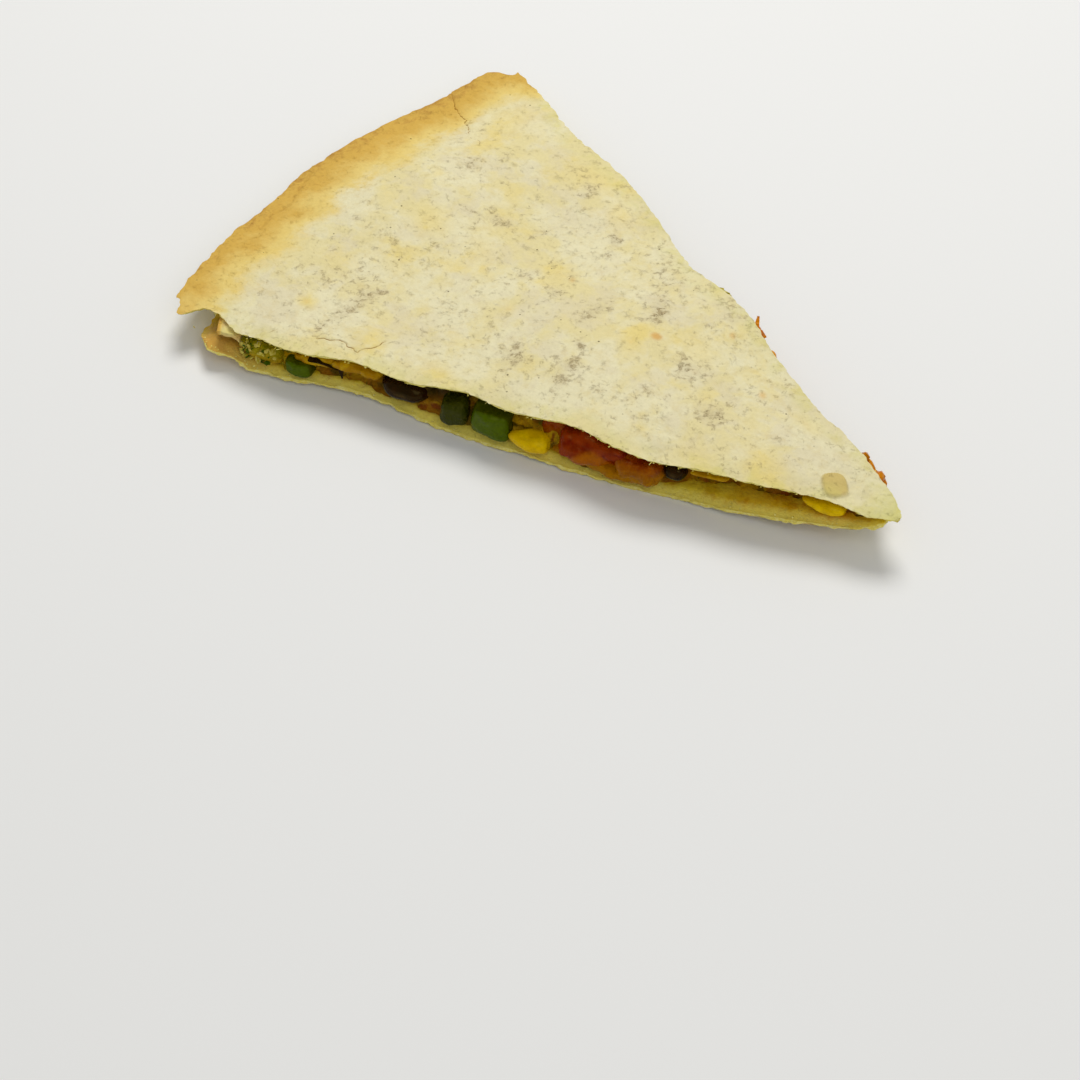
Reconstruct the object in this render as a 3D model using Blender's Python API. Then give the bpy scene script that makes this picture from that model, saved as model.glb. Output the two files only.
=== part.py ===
"""One slice of a quesadilla: two baked flour tortilla sheets with a filling between them.

The slice is cut from a round, so it has a blunt tip, two straight cuts and a browned rim that
follows the tortilla's own edge. The sheets meet at the tip and stand apart along both cuts, where
the filling and the larger pieces in it show. The tip points along +X and the slice lies on Z = 0.
"""

import math

import bmesh
import bpy
from mathutils import Matrix, Vector

MM = 0.001

# The slice
RADIUS = 154 * MM  # from the tip to the rim, just over the radius of a 12 inch tortilla
TIP_X = 77.1 * MM  # where the tip lies, so that the slice is centred on the origin
MIDDLE_Y = -3.0 * MM  # and where its middle line lies
TIP_HALF = 2.4 * MM  # half the width of the blunt tip
CUT_SLOPE = 0.378  # how much each cut moves outward for each unit of length
TIP_ROUND = 4.5 * MM  # how far the corners of the blunt tip are rounded back
RIM_SKEW = 2.6 * MM  # the rim reaches this much further at the back than in the middle
CORNER_Y = 49.5 * MM  # where the rim's arc ends on each side
FRONT_WAVE = (0.35 * MM, 91 * MM, 22 * MM)  # the front cut's unevenness: its height, a crest and its length
BACK_WAVE = (1.1 * MM, 96 * MM, 44 * MM)  # and the back cut's
UNDER_WAVE = (0.8 * MM, 70 * MM, 52 * MM)  # and the bottom sheet's at the back
CUT_NICK = 0.3 * MM  # small nicks along all cuts
BOW = 1.5 * MM  # both cuts bow this much towards the front
BOW_ALONG = 58 * MM
BOW_WIDTH = 27 * MM
RIM_WAVE = 0.7 * MM  # the unevenness of the rim

# Where the front cut of the top sheet strays further: how far along, over what width, and how far out
FRONT_BAYS = (
    (11 * MM, 5 * MM, -0.9 * MM),
    (40 * MM, 8 * MM, 1.5 * MM),
    (79 * MM, 7 * MM, -0.9 * MM),
    (101 * MM, 7 * MM, -0.9 * MM),
    (125.5 * MM, 4 * MM, 1.5 * MM),
    (143 * MM, 3 * MM, 1.6 * MM),
)
FRONT_IN = (1.5 * MM, 46 * MM, 62 * MM)  # and it lies this much further in between those two places

# The top sheet's torn front corner and chipped back corner
FRONT_TRIM = 45.1 * MM  # the front cut stays this near the middle line close to the rim
HOOK_REACH = 4.6 * MM  # a small hooked point that is left at the front corner
HOOK_ALONG = 138.8 * MM
HOOK_WIDTH = 1.9 * MM
BACK_TRIM = 1.6 * MM  # the back cut is this much nearer close to the rim
CHIP_DEPTH = 3.6 * MM  # how deep the chip in the rim at the back corner is
CHIP_ACROSS = (0.985, 0.05)  # where it lies between the cuts, and how wide it is

# The bottom sheet, which is a little smaller
UNDER_TIP = 0.9 * MM  # how much shorter it is at the tip
UNDER_RIM = 1.6 * MM  # and at the rim
UNDER_CORNER = 10.5 * MM  # and at the front corner
UNDER_CUT = 0.5 * MM  # and along the cuts
UNDER_IN = (0.9 * MM, 25 * MM, 40 * MM)  # its front cut lies this much further in between those two places
UNDER_BAY = (101 * MM, 13 * MM, 2.2 * MM)  # and by this much round that place
UNDER_PROUD = (36 * MM, 16 * MM, 1.5 * MM)  # its back cut stands out where it rises to the tip
UNDER_TRIM = (2.1 * MM, 5.5 * MM)  # close to the rim its cuts stay this much outside FRONT_TRIM
CORNER_EAR = 2.8 * MM  # its front corner stands out by this much
CORNER_AT = (130 * MM, -50 * MM)  # where that corner is
CORNER_SPREAD = 8 * MM  # and how wide the part of it that curls up is

# Heights
SHEET = 1.9 * MM  # thickness of a sheet
SHEET_THIN = 1.25 * MM  # and at its rim and tip
BELLY_START = 42 * MM  # from the tip, where the bottom sheet comes down to the table
TIP_LIFT = 7.0 * MM  # how high the tip of the bottom sheet is held by the stiff crust
STACK_TIP = 2.9 * MM  # both sheets together at the tip
STACK_FULL = 12.8 * MM  # the slice's thickness where it is fullest
STACK_RUN = 22 * MM  # how fast it thickens from the tip
STACK_DROP = 4.2 * MM  # how much thinner it is near the rim
CROWN = 1.0 * MM  # the top sheet's middle stands this much above its cuts
RIM_DROOP = 3.2 * MM  # the top sheet comes down at the rim
DROOP_SHARES = (0.15, 0.65)  # how much of that is left at its front and back corners
RIM_CURL = 1.5 * MM  # the bottom sheet's rim curls up
RIM_BAND = 24 * MM  # both over this width
CORNER_LIFT = 3.2 * MM  # the bottom sheet's front corner curls up too
CUT_WAVES = ((104 * MM, 13 * MM, 1.5 * MM), (66 * MM, 8 * MM, 0.6 * MM))  # low arches under its cuts
# Where the top sheet stands higher or lower at its front cut: how far along, the width and the height
FRONT_LIFTS = (
    (40 * MM, 9 * MM, -0.9 * MM),
    (79 * MM, 8 * MM, 0.8 * MM),
    (101 * MM, 8 * MM, 0.9 * MM),
    (118 * MM, 8 * MM, 0.5 * MM),
)
# Broad low waves of the top sheet: how fast they run along and sideways, and their height
RIPPLES = ((9.5 * MM, 14 * MM, 0.45 * MM), (-23 * MM, 6.5 * MM, 0.32 * MM))

# The filling
SEAT = 0.4 * MM  # clear space between touching pieces
FILL_TIP = 6.5 * MM  # where the filling starts, from the tip
FILL_RIM = 10 * MM  # how far it stays inside the rim
FILL_CORNER = 10 * MM  # and further at the front corner
FILL_CUT = 1.7 * MM  # how far it stays inside both sheets' cuts
FILL_WAVE = 0.35 * MM  # the unevenness of its sides
FILL_SHARE = 0.45  # near the tip it fills this much of the front side, where the sheets gape
SOCKET = 0.35 * MM  # clear space round a piece that is set into the filling
OOZE = 0.7 * MM  # how far the melted filling swells out between the sheets

# How finely the sheets and the filling are divided
SHEET_STEPS = (30, 14)
FILLING_STEPS = (21, 9)


def smooth(low, high, value):
    """0 below low, 1 above high, and a smooth step between them."""
    part = min(max((value - low) / (high - low), 0.0), 1.0)
    return part * part * (3.0 - 2.0 * part)


def hill(value, centre, width):
    """1 at the centre, falling off to each side."""
    return math.exp(-(((value - centre) / width) ** 2))


# ---- The plan of the slice: along runs from the tip to the rim, side is -1 at the front, 1 at the back


def clean_cut(along, side):
    """How far a cut lies from the middle line, without its unevenness."""
    bow = BOW * hill(along, BOW_ALONG, BOW_WIDTH)
    return TIP_HALF + CUT_SLOPE * along - side * bow


def uneven(along, side, wave):
    """How far a cut strays from clean_cut, which is nothing at the tip."""
    height, crest, length = wave
    stray = height * math.cos(2.0 * math.pi * (along - crest) / length)
    stray += CUT_NICK * math.sin(along / (3.9 * MM) - side)
    return stray * smooth(8 * MM, 30 * MM, along)


def hills(along, places):
    """The sum of some hills, each with its middle, its width and its height."""
    return sum(height * hill(along, middle, width) for middle, width, height in places)


def top_cut(along, side):
    """How far the top sheet's cut edge lies from the middle line."""
    edge = clean_cut(along, side)
    if side > 0:
        return edge + uneven(along, side, BACK_WAVE) - BACK_TRIM * smooth(110 * MM, 140 * MM, along)
    edge += uneven(along, side, FRONT_WAVE) - FRONT_IN[0] * smooth(*FRONT_IN[1:], along)
    edge = min(edge, FRONT_TRIM) + hills(along, FRONT_BAYS)
    return edge + HOOK_REACH * hill(along, HOOK_ALONG, HOOK_WIDTH)


def under_cut(along, side):
    """How far the bottom sheet's cut edge lies from the middle line."""
    edge = clean_cut(along, side) - UNDER_CUT
    if side > 0:
        edge += uneven(along, side, UNDER_WAVE) + hills(along, [UNDER_PROUD])
        return min(edge, FRONT_TRIM + UNDER_TRIM[1])
    edge -= UNDER_IN[0] * smooth(*UNDER_IN[1:], along) + hills(along, [UNDER_BAY])
    return min(edge, FRONT_TRIM + UNDER_TRIM[0]) + CORNER_EAR * hill(along, CORNER_AT[0], CORNER_SPREAD / 2)


def rim_reach(across):
    """How far the top sheet's rim lies from the tip, measured straight out. across is -1 to 1."""
    wave = math.sin(5.2 * across + 0.6) + 0.5 * math.sin(13.0 * across + 2.0)
    reach = RADIUS - 0.4 * MM + RIM_SKEW * across + RIM_WAVE * wave * (1.0 - across * across)
    return reach - CHIP_DEPTH * hill(across, *CHIP_ACROSS)


def under_reach(across):
    """How far the bottom sheet's rim lies from the tip."""
    wave = math.sin(4.1 * across - 0.9) + 0.5 * math.sin(11.0 * across)
    reach = RADIUS - UNDER_RIM + RIM_WAVE * wave
    return reach - UNDER_CORNER * smooth(0.45, 1.0, -across)


def filling_cut(along, side):
    """How far the filling reaches from the middle line."""
    wave = math.sin(along / (5.3 * MM) + 2.4 * side) + 0.7 * math.sin(along / (2.9 * MM) + side)
    edge = min(top_cut(along, side), under_cut(along, side))
    if side < 0:
        edge *= FILL_SHARE + (1.0 - FILL_SHARE) * smooth(8 * MM, 46 * MM, along)
    edge -= FILL_CUT * smooth(0.0, 30 * MM, along)
    return min(edge + FILL_WAVE * wave * smooth(20 * MM, 40 * MM, along), FRONT_TRIM - 2 * MM)


def filling_reach(across):
    """How far the filling reaches from the tip."""
    wave = math.sin(6.3 * across + 1.1) + 0.6 * math.sin(15.0 * across)
    reach = RADIUS - FILL_RIM + 1.4 * MM * wave
    return reach - FILL_CORNER * smooth(0.35, 1.0, -across)


def plan_point(start, across, cut, reach, first, last_y):
    """A point of the plan as (along, sideways).

    start runs from 0 at the tip to 1 at the rim, and across from -1 at the front cut to 1 at the back.
    first is where the piece begins, and last_y is where its rim ends on each side."""
    side = -1.0 if across < 0 else 1.0
    nose = first + TIP_ROUND * abs(across) ** 3
    rim = math.sqrt(reach(across) ** 2 - (across * last_y) ** 2)
    along = nose + start * (rim - nose)
    return along, across * cut(along, side)


# ---- The heights, all for a place given as along and sideways


def across_of(along, sideways):
    """Where a place lies between the cuts, from -1 to 1."""
    side = -1.0 if sideways < 0 else 1.0
    return max(-1.0, min(1.0, sideways / clean_cut(max(along, 0.0), side)))


def rim_share(along, sideways):
    """0 inside the browned band and 1 at the rim."""
    return smooth(RADIUS - RIM_BAND, RADIUS, math.hypot(along, sideways))


def sheet_thickness(along, sideways):
    thin = max(rim_share(along, sideways), 1.0 - smooth(0.0, 25 * MM, along))
    return SHEET + (SHEET_THIN - SHEET) * thin


def tip_lift(along):
    """How high the stiff crust holds the slice towards its tip."""
    return TIP_LIFT * max(0.0, 1.0 - along / BELLY_START) ** 1.6


def under_low(along, sideways):
    """The underside of the slice."""
    from_corner = math.hypot(along - CORNER_AT[0], sideways - CORNER_AT[1])
    curl = RIM_CURL * rim_share(along, sideways) ** 2 + CORNER_LIFT * hill(from_corner, 0.0, CORNER_SPREAD)
    edge = abs(across_of(along, sideways)) ** 4
    return tip_lift(along) + curl + edge * hills(along, CUT_WAVES)


def under_high(along, sideways):
    """The top of the bottom sheet."""
    return under_low(along, sideways) + sheet_thickness(along, sideways)


def stack(along):
    """The slice's thickness at its cuts."""
    rise = 1.0 - math.exp(-((max(along, 0.0) / STACK_RUN) ** 1.2))
    return STACK_TIP + (STACK_FULL - STACK_TIP) * rise - STACK_DROP * smooth(50 * MM, 110 * MM, along)


def top_high(along, sideways):
    """The top of the slice."""
    across = across_of(along, sideways)
    crown = CROWN * (1.0 - across * across) * smooth(0.0, 35 * MM, along)
    droop = RIM_DROOP * rim_share(along, sideways)
    droop *= 1.0 - (1.0 - DROOP_SHARES[0]) * smooth(0.3, 0.95, -across)
    droop *= 1.0 - (1.0 - DROOP_SHARES[1]) * smooth(0.5, 1.0, across)
    ripple = sum(height * math.sin(along / run + sideways / width) for run, width, height in RIPPLES)
    ripple *= smooth(15 * MM, 50 * MM, along)
    lift = smooth(0.4, 1.0, -across) * hills(along, FRONT_LIFTS)
    return tip_lift(along) + stack(along) + crown - droop + ripple + lift


def top_low(along, sideways):
    """The underside of the top sheet."""
    return top_high(along, sideways) - sheet_thickness(along, sideways)


def place(along, sideways, height):
    """A point of the slice in the part's own frame."""
    return Vector((TIP_X - along, MIDDLE_Y + sideways, height))


# ---- Making pieces


def clear_scene():
    for item in list(bpy.data.objects):
        bpy.data.objects.remove(item, do_unlink=True)


def make_material(name, colour, roughness):
    material = bpy.data.materials.new(name)
    material.use_nodes = True
    shader = material.node_tree.nodes["Principled BSDF"]
    shader.inputs["Base Color"].default_value = (*colour, 1.0)
    shader.inputs["Roughness"].default_value = roughness
    shader.inputs["Metallic"].default_value = 0.0
    return material


def finish(bm, name, material):
    """Closes a bmesh into a named object with its faces pointing out."""
    bmesh.ops.recalc_face_normals(bm, faces=bm.faces)
    mesh = bpy.data.meshes.new(name)
    bm.to_mesh(mesh)
    bm.free()
    mesh.materials.append(material)
    mesh.shade_smooth()
    mesh.set_sharp_from_angle(angle=math.radians(50))
    piece = bpy.data.objects.new(name, mesh)
    bpy.context.collection.objects.link(piece)
    return piece


def spread(part, pull):
    """Moves evenly spaced steps from 0 to 1 closer together towards both ends."""
    return part - pull * math.sin(2.0 * math.pi * part) / (2.0 * math.pi)


def swell(bm, amount):
    """Rounds the upright sides of a layer out, more in some places than in others."""
    upright = [
        edge for edge in bm.edges if (edge.verts[0].co - edge.verts[1].co).to_2d().length < 0.001 * MM
    ]
    bm.normal_update()
    cut = bmesh.ops.subdivide_edges(bm, edges=upright, cuts=1)
    bm.normal_update()
    for vert in (item for item in cut["geom_inner"] if isinstance(item, bmesh.types.BMVert)):
        share = 0.6 + 0.4 * math.sin(vert.co.x / (3.1 * MM)) * math.cos(vert.co.y / (4.3 * MM))
        out = Vector((vert.normal.x, vert.normal.y, 0.0)).normalized()
        vert.co += amount * share * out


def make_layer(name, material, steps, plan, high, low, ooze=0.0):
    """A closed layer: a grid laid over the plan at its top surface, then drawn down to its lower one.

    plan turns two shares into a place, and high and low give its heights there."""
    bm = bmesh.new()
    bmesh.ops.create_grid(bm, x_segments=steps[0], y_segments=steps[1], size=0.5)
    for vert in bm.verts:
        start = spread(vert.co.x + 0.5, 0.45)
        across = 2.0 * spread(vert.co.y + 0.5, 0.3) - 1.0
        along, sideways = plan(start, across)
        vert.co = (along, sideways, high(along, sideways))
    drawn = bmesh.ops.extrude_face_region(bm, geom=bm.faces[:])
    for item in drawn["geom"]:
        if isinstance(item, bmesh.types.BMVert):
            item.co.z = low(item.co.x, item.co.y)
    for vert in bm.verts:
        vert.co = place(vert.co.x, vert.co.y, vert.co.z)
    if ooze > 0.0:
        bmesh.ops.recalc_face_normals(bm, faces=bm.faces)
        swell(bm, ooze)
    return finish(bm, name, material)


def make_sheets():
    crust = make_material("baked_tortilla", (0.70, 0.60, 0.36), 0.75)
    crust_under = make_material("baked_tortilla_under", (0.64, 0.52, 0.28), 0.75)
    make_layer(
        "tortilla_top",
        crust,
        SHEET_STEPS,
        lambda start, across: plan_point(start, across, top_cut, rim_reach, 0.0, CORNER_Y),
        top_high,
        top_low,
    )
    make_layer(
        "tortilla_bottom",
        crust_under,
        SHEET_STEPS,
        lambda start, across: plan_point(
            start, across, under_cut, under_reach, UNDER_TIP, CORNER_Y - UNDER_RIM
        ),
        under_high,
        under_low,
    )


def make_filling():
    cheese = make_material("melted_cheese", (0.40, 0.24, 0.05), 0.5)
    return make_layer(
        "filling",
        cheese,
        FILLING_STEPS,
        lambda start, across: plan_point(
            start, across, filling_cut, filling_reach, FILL_TIP, CORNER_Y - FILL_RIM / 2
        ),
        lambda along, sideways: top_low(along, sideways) - SEAT,
        lambda along, sideways: under_high(along, sideways) + SEAT,
        OOZE,
    )


def block(bm, size):
    """A diced piece: a block with soft edges that leans a little."""
    bmesh.ops.create_cube(bm, size=1.0)
    for vert in bm.verts:
        lean = 0.12 * vert.co.z * (1.0 if vert.co.x > 0 else -1.0)
        vert.co = Vector(((vert.co.x + lean) * size[0], vert.co.y * size[1], vert.co.z * size[2]))
    bmesh.ops.bevel(
        bm,
        geom=bm.edges[:],
        offset=0.2 * min(size),
        segments=2,
        profile=0.5,
        affect="EDGES",
        material=-1,
    )


def bean(bm, size):
    """A bean: an egg shape bent a little like a kidney."""
    bmesh.ops.create_uvsphere(bm, u_segments=10, v_segments=8, radius=0.5)
    turn = Matrix.Rotation(math.radians(90), 3, "Y")
    for vert in bm.verts:
        vert.co = turn @ vert.co
        vert.co.y += 0.25 * (vert.co.x**2 - 0.1)
        vert.co = Vector((vert.co.x * size[0], vert.co.y * size[1], vert.co.z * size[2]))


def kernel(bm, size):
    """A corn kernel: full and round at one end, narrow and flatter at the other."""
    bmesh.ops.create_uvsphere(bm, u_segments=10, v_segments=8, radius=0.5)
    turn = Matrix.Rotation(math.radians(90), 3, "Y")
    for vert in bm.verts:
        vert.co = turn @ vert.co
        narrow = 1.0 - 0.35 * smooth(-0.1, 0.5, vert.co.x)
        vert.co = Vector(
            (vert.co.x * size[0], vert.co.y * size[1] * narrow, vert.co.z * size[2] * narrow)
        )


def shred(bm, size):
    """A torn piece of meat or carrot: a rounded block with a wavy surface."""
    block(bm, size)
    for vert in bm.verts:
        wave = math.sin(vert.co.x / (1.1 * MM)) * math.cos(vert.co.z / (0.9 * MM))
        vert.co.y += 0.25 * MM * wave


# Each piece in the filling: its shape, the slice's cut that it shows at, how far it lies from the tip
# and in from the cut, its length, depth and height, how far it is turned, in degrees, and its level,
# from -1 on the bottom sheet to 1 under the top sheet. Lengths are in millimetres.
PIECES = (
    ("pepper_green", block, -1, 75.0, 4.2, (7.4, 6.2, 6.2), 6, -0.4),
    ("pepper_dark", block, -1, 82.3, 3.8, (5.0, 5.2, 5.2), -8, -0.3),
    ("pepper_front_small", block, -1, 113.4, 4.0, (4.6, 4.0, 2.9), 12, -0.7),
    ("corn_front", kernel, -1, 66.5, 2.2, (8.8, 5.0, 4.1), 170, -0.9),
    ("corn_tip", kernel, -1, 13.4, 3.4, (9.2, 4.6, 3.2), 172, 0.2),
    ("tomato_front", block, -1, 55.0, 4.1, (12.8, 6.6, 6.4), 3, 0.5),
    ("bean_brown", bean, -1, 45.2, 2.6, (5.6, 4.8, 4.4), -10, -0.6),
    ("bean_small", bean, -1, 40.0, 3.0, (4.8, 4.0, 3.8), 14, 0.3),
    ("bean_black", bean, -1, 93.0, 4.7, (10.2, 5.6, 4.8), -6, 0.1),
    ("meat_tip", shred, 1, 12.4, 0.2, (8.4, 4.6, 2.6), 4, 0.3),
    ("meat_middle", shred, 1, 47.4, 0.6, (6.6, 5.0, 4.4), -12, 0.5),
    ("corn_back", kernel, 1, 59.0, -0.6, (6.6, 5.6, 4.4), 20, 0.8),
    ("tomato_back", block, 1, 73.0, 3.4, (10.4, 6.2, 5.6), -5, 0.0),
    ("bean_back", bean, 1, 87.4, 2.8, (9.4, 5.4, 4.8), 10, -0.2),
    ("pepper_back", block, 1, 99.0, 3.4, (7.2, 6.0, 4.4), 8, 0.0),
    ("bean_rim", bean, 1, 112.0, 2.8, (9.0, 5.4, 4.2), -8, 0.0),
)

PIECE_COLOURS = {
    "pepper": (0.06, 0.07, 0.006),
    "corn": (0.50, 0.33, 0.01),
    "tomato": (0.32, 0.05, 0.01),
    "bean": (0.05, 0.02, 0.008),
    "meat": (0.55, 0.15, 0.02),
}


def make_piece(name, shape, side, along, inset, size, turn, level, grow):
    """One piece in its place, grow larger all round, no higher than the room between the sheets."""
    sideways = side * (clean_cut(along, side) - inset)
    ends = (along - 0.4 * size[0], along + 0.4 * size[0])
    room = min(top_low(end, sideways) - under_high(end, sideways) for end in ends)
    height = min(size[2], 0.86 * room)
    middles = [(top_low(end, sideways) + under_high(end, sideways)) / 2 for end in ends]
    tilt = math.atan2(middles[1] - middles[0], ends[1] - ends[0])
    middle = place(along, sideways, sum(middles) / 2 + level * (room - height) / 2)
    bm = bmesh.new()
    shape(bm, (size[0] + 2 * grow, size[1] + 2 * grow, height + 2 * grow))
    in_line = math.radians(turn) - side * math.atan(CUT_SLOPE)
    bmesh.ops.transform(
        bm,
        matrix=Matrix.Translation(middle)
        @ Matrix.Rotation(tilt, 4, "Y")
        @ Matrix.Rotation(in_line, 4, "Z"),
        verts=bm.verts,
    )
    kind = name.split("_")[0]
    material = bpy.data.materials.get(kind) or make_material(kind, PIECE_COLOURS[kind], 0.45)
    return finish(bm, name if grow == 0 else name + "_socket", material)


def make_pieces(filling):
    """The pieces that show at the cuts, and the sockets that they sit in."""
    sockets = bpy.data.collections.new("sockets")
    for name, shape, side, along, inset, size, turn, level in PIECES:
        size = tuple(length * MM for length in size)
        placing = (shape, side, along * MM, inset * MM, size, turn, level)
        make_piece(name, *placing, 0)
        cutter = make_piece(name, *placing, SOCKET)
        bpy.context.collection.objects.unlink(cutter)
        sockets.objects.link(cutter)
        cutter.hide_render = True
        cutter.display_type = "WIRE"
    bpy.context.scene.collection.children.link(sockets)
    cut = filling.modifiers.new("sockets", "BOOLEAN")
    cut.operation = "DIFFERENCE"
    cut.solver = "EXACT"
    cut.operand_type = "COLLECTION"
    cut.collection = sockets


def main():
    clear_scene()
    make_sheets()
    make_pieces(make_filling())


main()
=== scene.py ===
"""A slice of a quesadilla: two baked flour tortillas round a filling of cheese, sauce and vegetables.

The sheets, the filling and each larger piece in it replace their plain solids. Lengths are in metres
unless a comment says otherwise, and along always runs from the slice's tip to its browned rim.
"""

import math
import random

import bmesh
import bpy
from mathutils import Matrix, Vector, noise


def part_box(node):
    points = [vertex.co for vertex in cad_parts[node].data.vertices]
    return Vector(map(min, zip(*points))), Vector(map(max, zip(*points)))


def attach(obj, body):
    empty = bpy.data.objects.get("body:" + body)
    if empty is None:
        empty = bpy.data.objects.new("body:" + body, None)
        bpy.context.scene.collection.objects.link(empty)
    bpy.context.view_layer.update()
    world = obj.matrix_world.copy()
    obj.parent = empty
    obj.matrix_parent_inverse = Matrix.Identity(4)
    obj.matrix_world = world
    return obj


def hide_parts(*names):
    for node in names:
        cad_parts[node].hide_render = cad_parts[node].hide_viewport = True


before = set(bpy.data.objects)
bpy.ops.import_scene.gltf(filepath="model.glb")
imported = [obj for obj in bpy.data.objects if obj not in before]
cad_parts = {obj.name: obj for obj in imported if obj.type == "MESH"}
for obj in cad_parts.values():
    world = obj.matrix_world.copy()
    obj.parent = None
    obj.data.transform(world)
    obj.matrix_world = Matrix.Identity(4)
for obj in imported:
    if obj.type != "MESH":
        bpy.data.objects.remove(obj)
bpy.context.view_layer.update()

MM = 0.001

# ---- The slice's shape, as its solids have it

RADIUS = 154 * MM
TIP_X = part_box("tortilla_top")[1].x
MIDDLE_Y = -3.0 * MM
TIP_HALF = 2.4 * MM
CUT_SLOPE = 0.378
TIP_ROUND = 4.5 * MM
RIM_SKEW = 2.6 * MM
CORNER_Y = 49.5 * MM
FRONT_WAVE = (0.35 * MM, 91 * MM, 22 * MM)
BACK_WAVE = (1.1 * MM, 96 * MM, 44 * MM)
UNDER_WAVE = (0.8 * MM, 70 * MM, 52 * MM)
CUT_NICK = 0.3 * MM
BOW = 1.5 * MM
BOW_ALONG = 58 * MM
BOW_WIDTH = 27 * MM
RIM_WAVE = 0.7 * MM
FRONT_BAYS = (
    (11 * MM, 5 * MM, -0.9 * MM),
    (40 * MM, 8 * MM, 1.5 * MM),
    (79 * MM, 7 * MM, -0.9 * MM),
    (101 * MM, 7 * MM, -0.9 * MM),
    (125.5 * MM, 4 * MM, 1.5 * MM),
    (143 * MM, 3 * MM, 1.6 * MM),
)
FRONT_IN = (1.5 * MM, 46 * MM, 62 * MM)
FRONT_TRIM = 45.1 * MM
HOOK_REACH = 4.6 * MM
HOOK_ALONG = 138.8 * MM
HOOK_WIDTH = 1.9 * MM
BACK_TRIM = 1.6 * MM
CHIP_DEPTH = 3.6 * MM
CHIP_ACROSS = (0.985, 0.05)
UNDER_TIP = 2.6 * MM
UNDER_RIM = 1.6 * MM
UNDER_CORNER = 10.5 * MM
UNDER_CUT = 0.5 * MM
UNDER_IN = (0.9 * MM, 25 * MM, 40 * MM)
UNDER_BAY = (101 * MM, 13 * MM, 2.2 * MM)
UNDER_PROUD = (36 * MM, 16 * MM, 1.5 * MM)
UNDER_TRIM = (2.1 * MM, 5.5 * MM)
CORNER_EAR = 2.8 * MM
CORNER_AT = (130 * MM, -50 * MM)
CORNER_SPREAD = 8 * MM
SHEET = 1.9 * MM
SHEET_THIN = 1.25 * MM
BELLY_START = 42 * MM
TIP_LIFT = 7.0 * MM
STACK_TIP = 2.9 * MM
STACK_FULL = 12.8 * MM
STACK_RUN = 22 * MM
STACK_DROP = 4.2 * MM
CROWN = 1.0 * MM
RIM_DROOP = 3.2 * MM
DROOP_SHARES = (0.15, 0.65)
RIM_CURL = 1.5 * MM
RIM_BAND = 24 * MM
CORNER_LIFT = 3.2 * MM
CUT_WAVES = ((104 * MM, 13 * MM, 1.5 * MM), (66 * MM, 8 * MM, 0.6 * MM))
FRONT_LIFTS = (
    (40 * MM, 9 * MM, -0.9 * MM),
    (79 * MM, 8 * MM, 0.8 * MM),
    (101 * MM, 8 * MM, 0.9 * MM),
    (118 * MM, 8 * MM, 0.5 * MM),
)
RIPPLES = ((9.5 * MM, 14 * MM, 0.45 * MM), (-23 * MM, 6.5 * MM, 0.32 * MM))
FILL_TIP = 6.5 * MM
FILL_RIM = 10 * MM
FILL_CORNER = 10 * MM
FILL_CUT = 1.7 * MM
FILL_WAVE = 0.35 * MM
FILL_SHARE = 0.45

# ---- How finely the sheets and the filling are divided, and how many rows their sides have

CRUST_STEPS = (280, 120)
CRUST_ROWS = 4
FILLING_STEPS = (240, 40)
FILLING_ROWS = 11

# ---- Marks on the top sheet. Each stain is (along, sideways, half length, half width, turn, strength),
# with lengths in millimetres and the turn in degrees from the slice's middle line.

YELLOW_STAINS = (
    (120.7, 3.2, 7, 5, 30, 0.9),
    (111.3, 13.3, 7, 4, 60, 0.7),
    (106.3, 37.0, 8, 6, 0, 0.9),
    (94.3, 31.4, 6, 4, 40, 0.8),
    (126.5, -18.7, 6, 4, 50, 0.6),
    (117.7, -10.5, 7, 4, 20, 0.7),
    (106.5, 2.4, 9, 4, 50, 0.7),
    (91.0, 8.5, 7, 4, 40, 0.8),
    (104.0, -31.5, 5, 4, 0, 0.9),
    (85.5, -30.2, 8, 3, 20, 0.9),
    (90.2, -7.0, 3, 2, 70, 0.8),
    (65.0, 1.4, 6, 3, 70, 1.0),
    (53.9, 7.8, 7, 5, 40, 0.7),
    (34.0, -15.5, 9, 4, 20, 0.9),
    (25.3, -7.5, 8, 4, 20, 0.9),
    (26.5, 6.3, 5, 2.5, 10, 0.7),
    (122.1, -31.2, 2.6, 2, 0, 1.3),
    (133.5, 40.0, 6, 12, 0, 0.9),
)
GREY_STAINS = (
    (127.8, 22.5, 3.0, 1.6, 60, 0.9),
    (117.2, 11.0, 2.6, 1.4, 20, 0.8),
    (111.8, 12.7, 3.6, 1.6, 20, 0.9),
    (104.0, 31.8, 4.0, 2.0, 70, 0.9),
    (102.8, 15.5, 3.0, 1.2, 100, 0.7),
    (89.7, 24.6, 3.0, 2.0, 50, 1.2),
    (87.5, 20.4, 3.0, 2.0, 50, 0.8),
    (95.2, 4.5, 3.6, 1.2, 100, 0.9),
    (86.6, 3.1, 2.4, 2.0, 30, 1.2),
    (76.5, 3.0, 6.0, 2.2, 95, 1.1),
    (66.2, 10.3, 4.0, 1.6, 60, 1.2),
    (69.1, -12.4, 3.4, 2.0, 100, 1.2),
    (68.0, -16.9, 3.4, 2.0, 60, 1.1),
    (71.9, -6.9, 1.6, 1.2, 0, 1.2),
    (79.7, -16.4, 5.0, 2.0, 60, 0.7),
    (52.4, 2.1, 4.5, 3.0, 30, 1.0),
    (41.2, -3.9, 4.6, 3.6, 20, 1.1),
    # This long stain lies along the first crease: painted shade in the fold.
    (114.0, -28.5, 2.0, 9.0, 0, 0.8),
    (97.0, -22.0, 6.0, 3.0, 40, 0.5),
    (57.0, 22.0, 9.0, 5.0, 20, 0.5),
    (74.0, 22.0, 9.0, 5.0, 20, 0.6),
)
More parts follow.
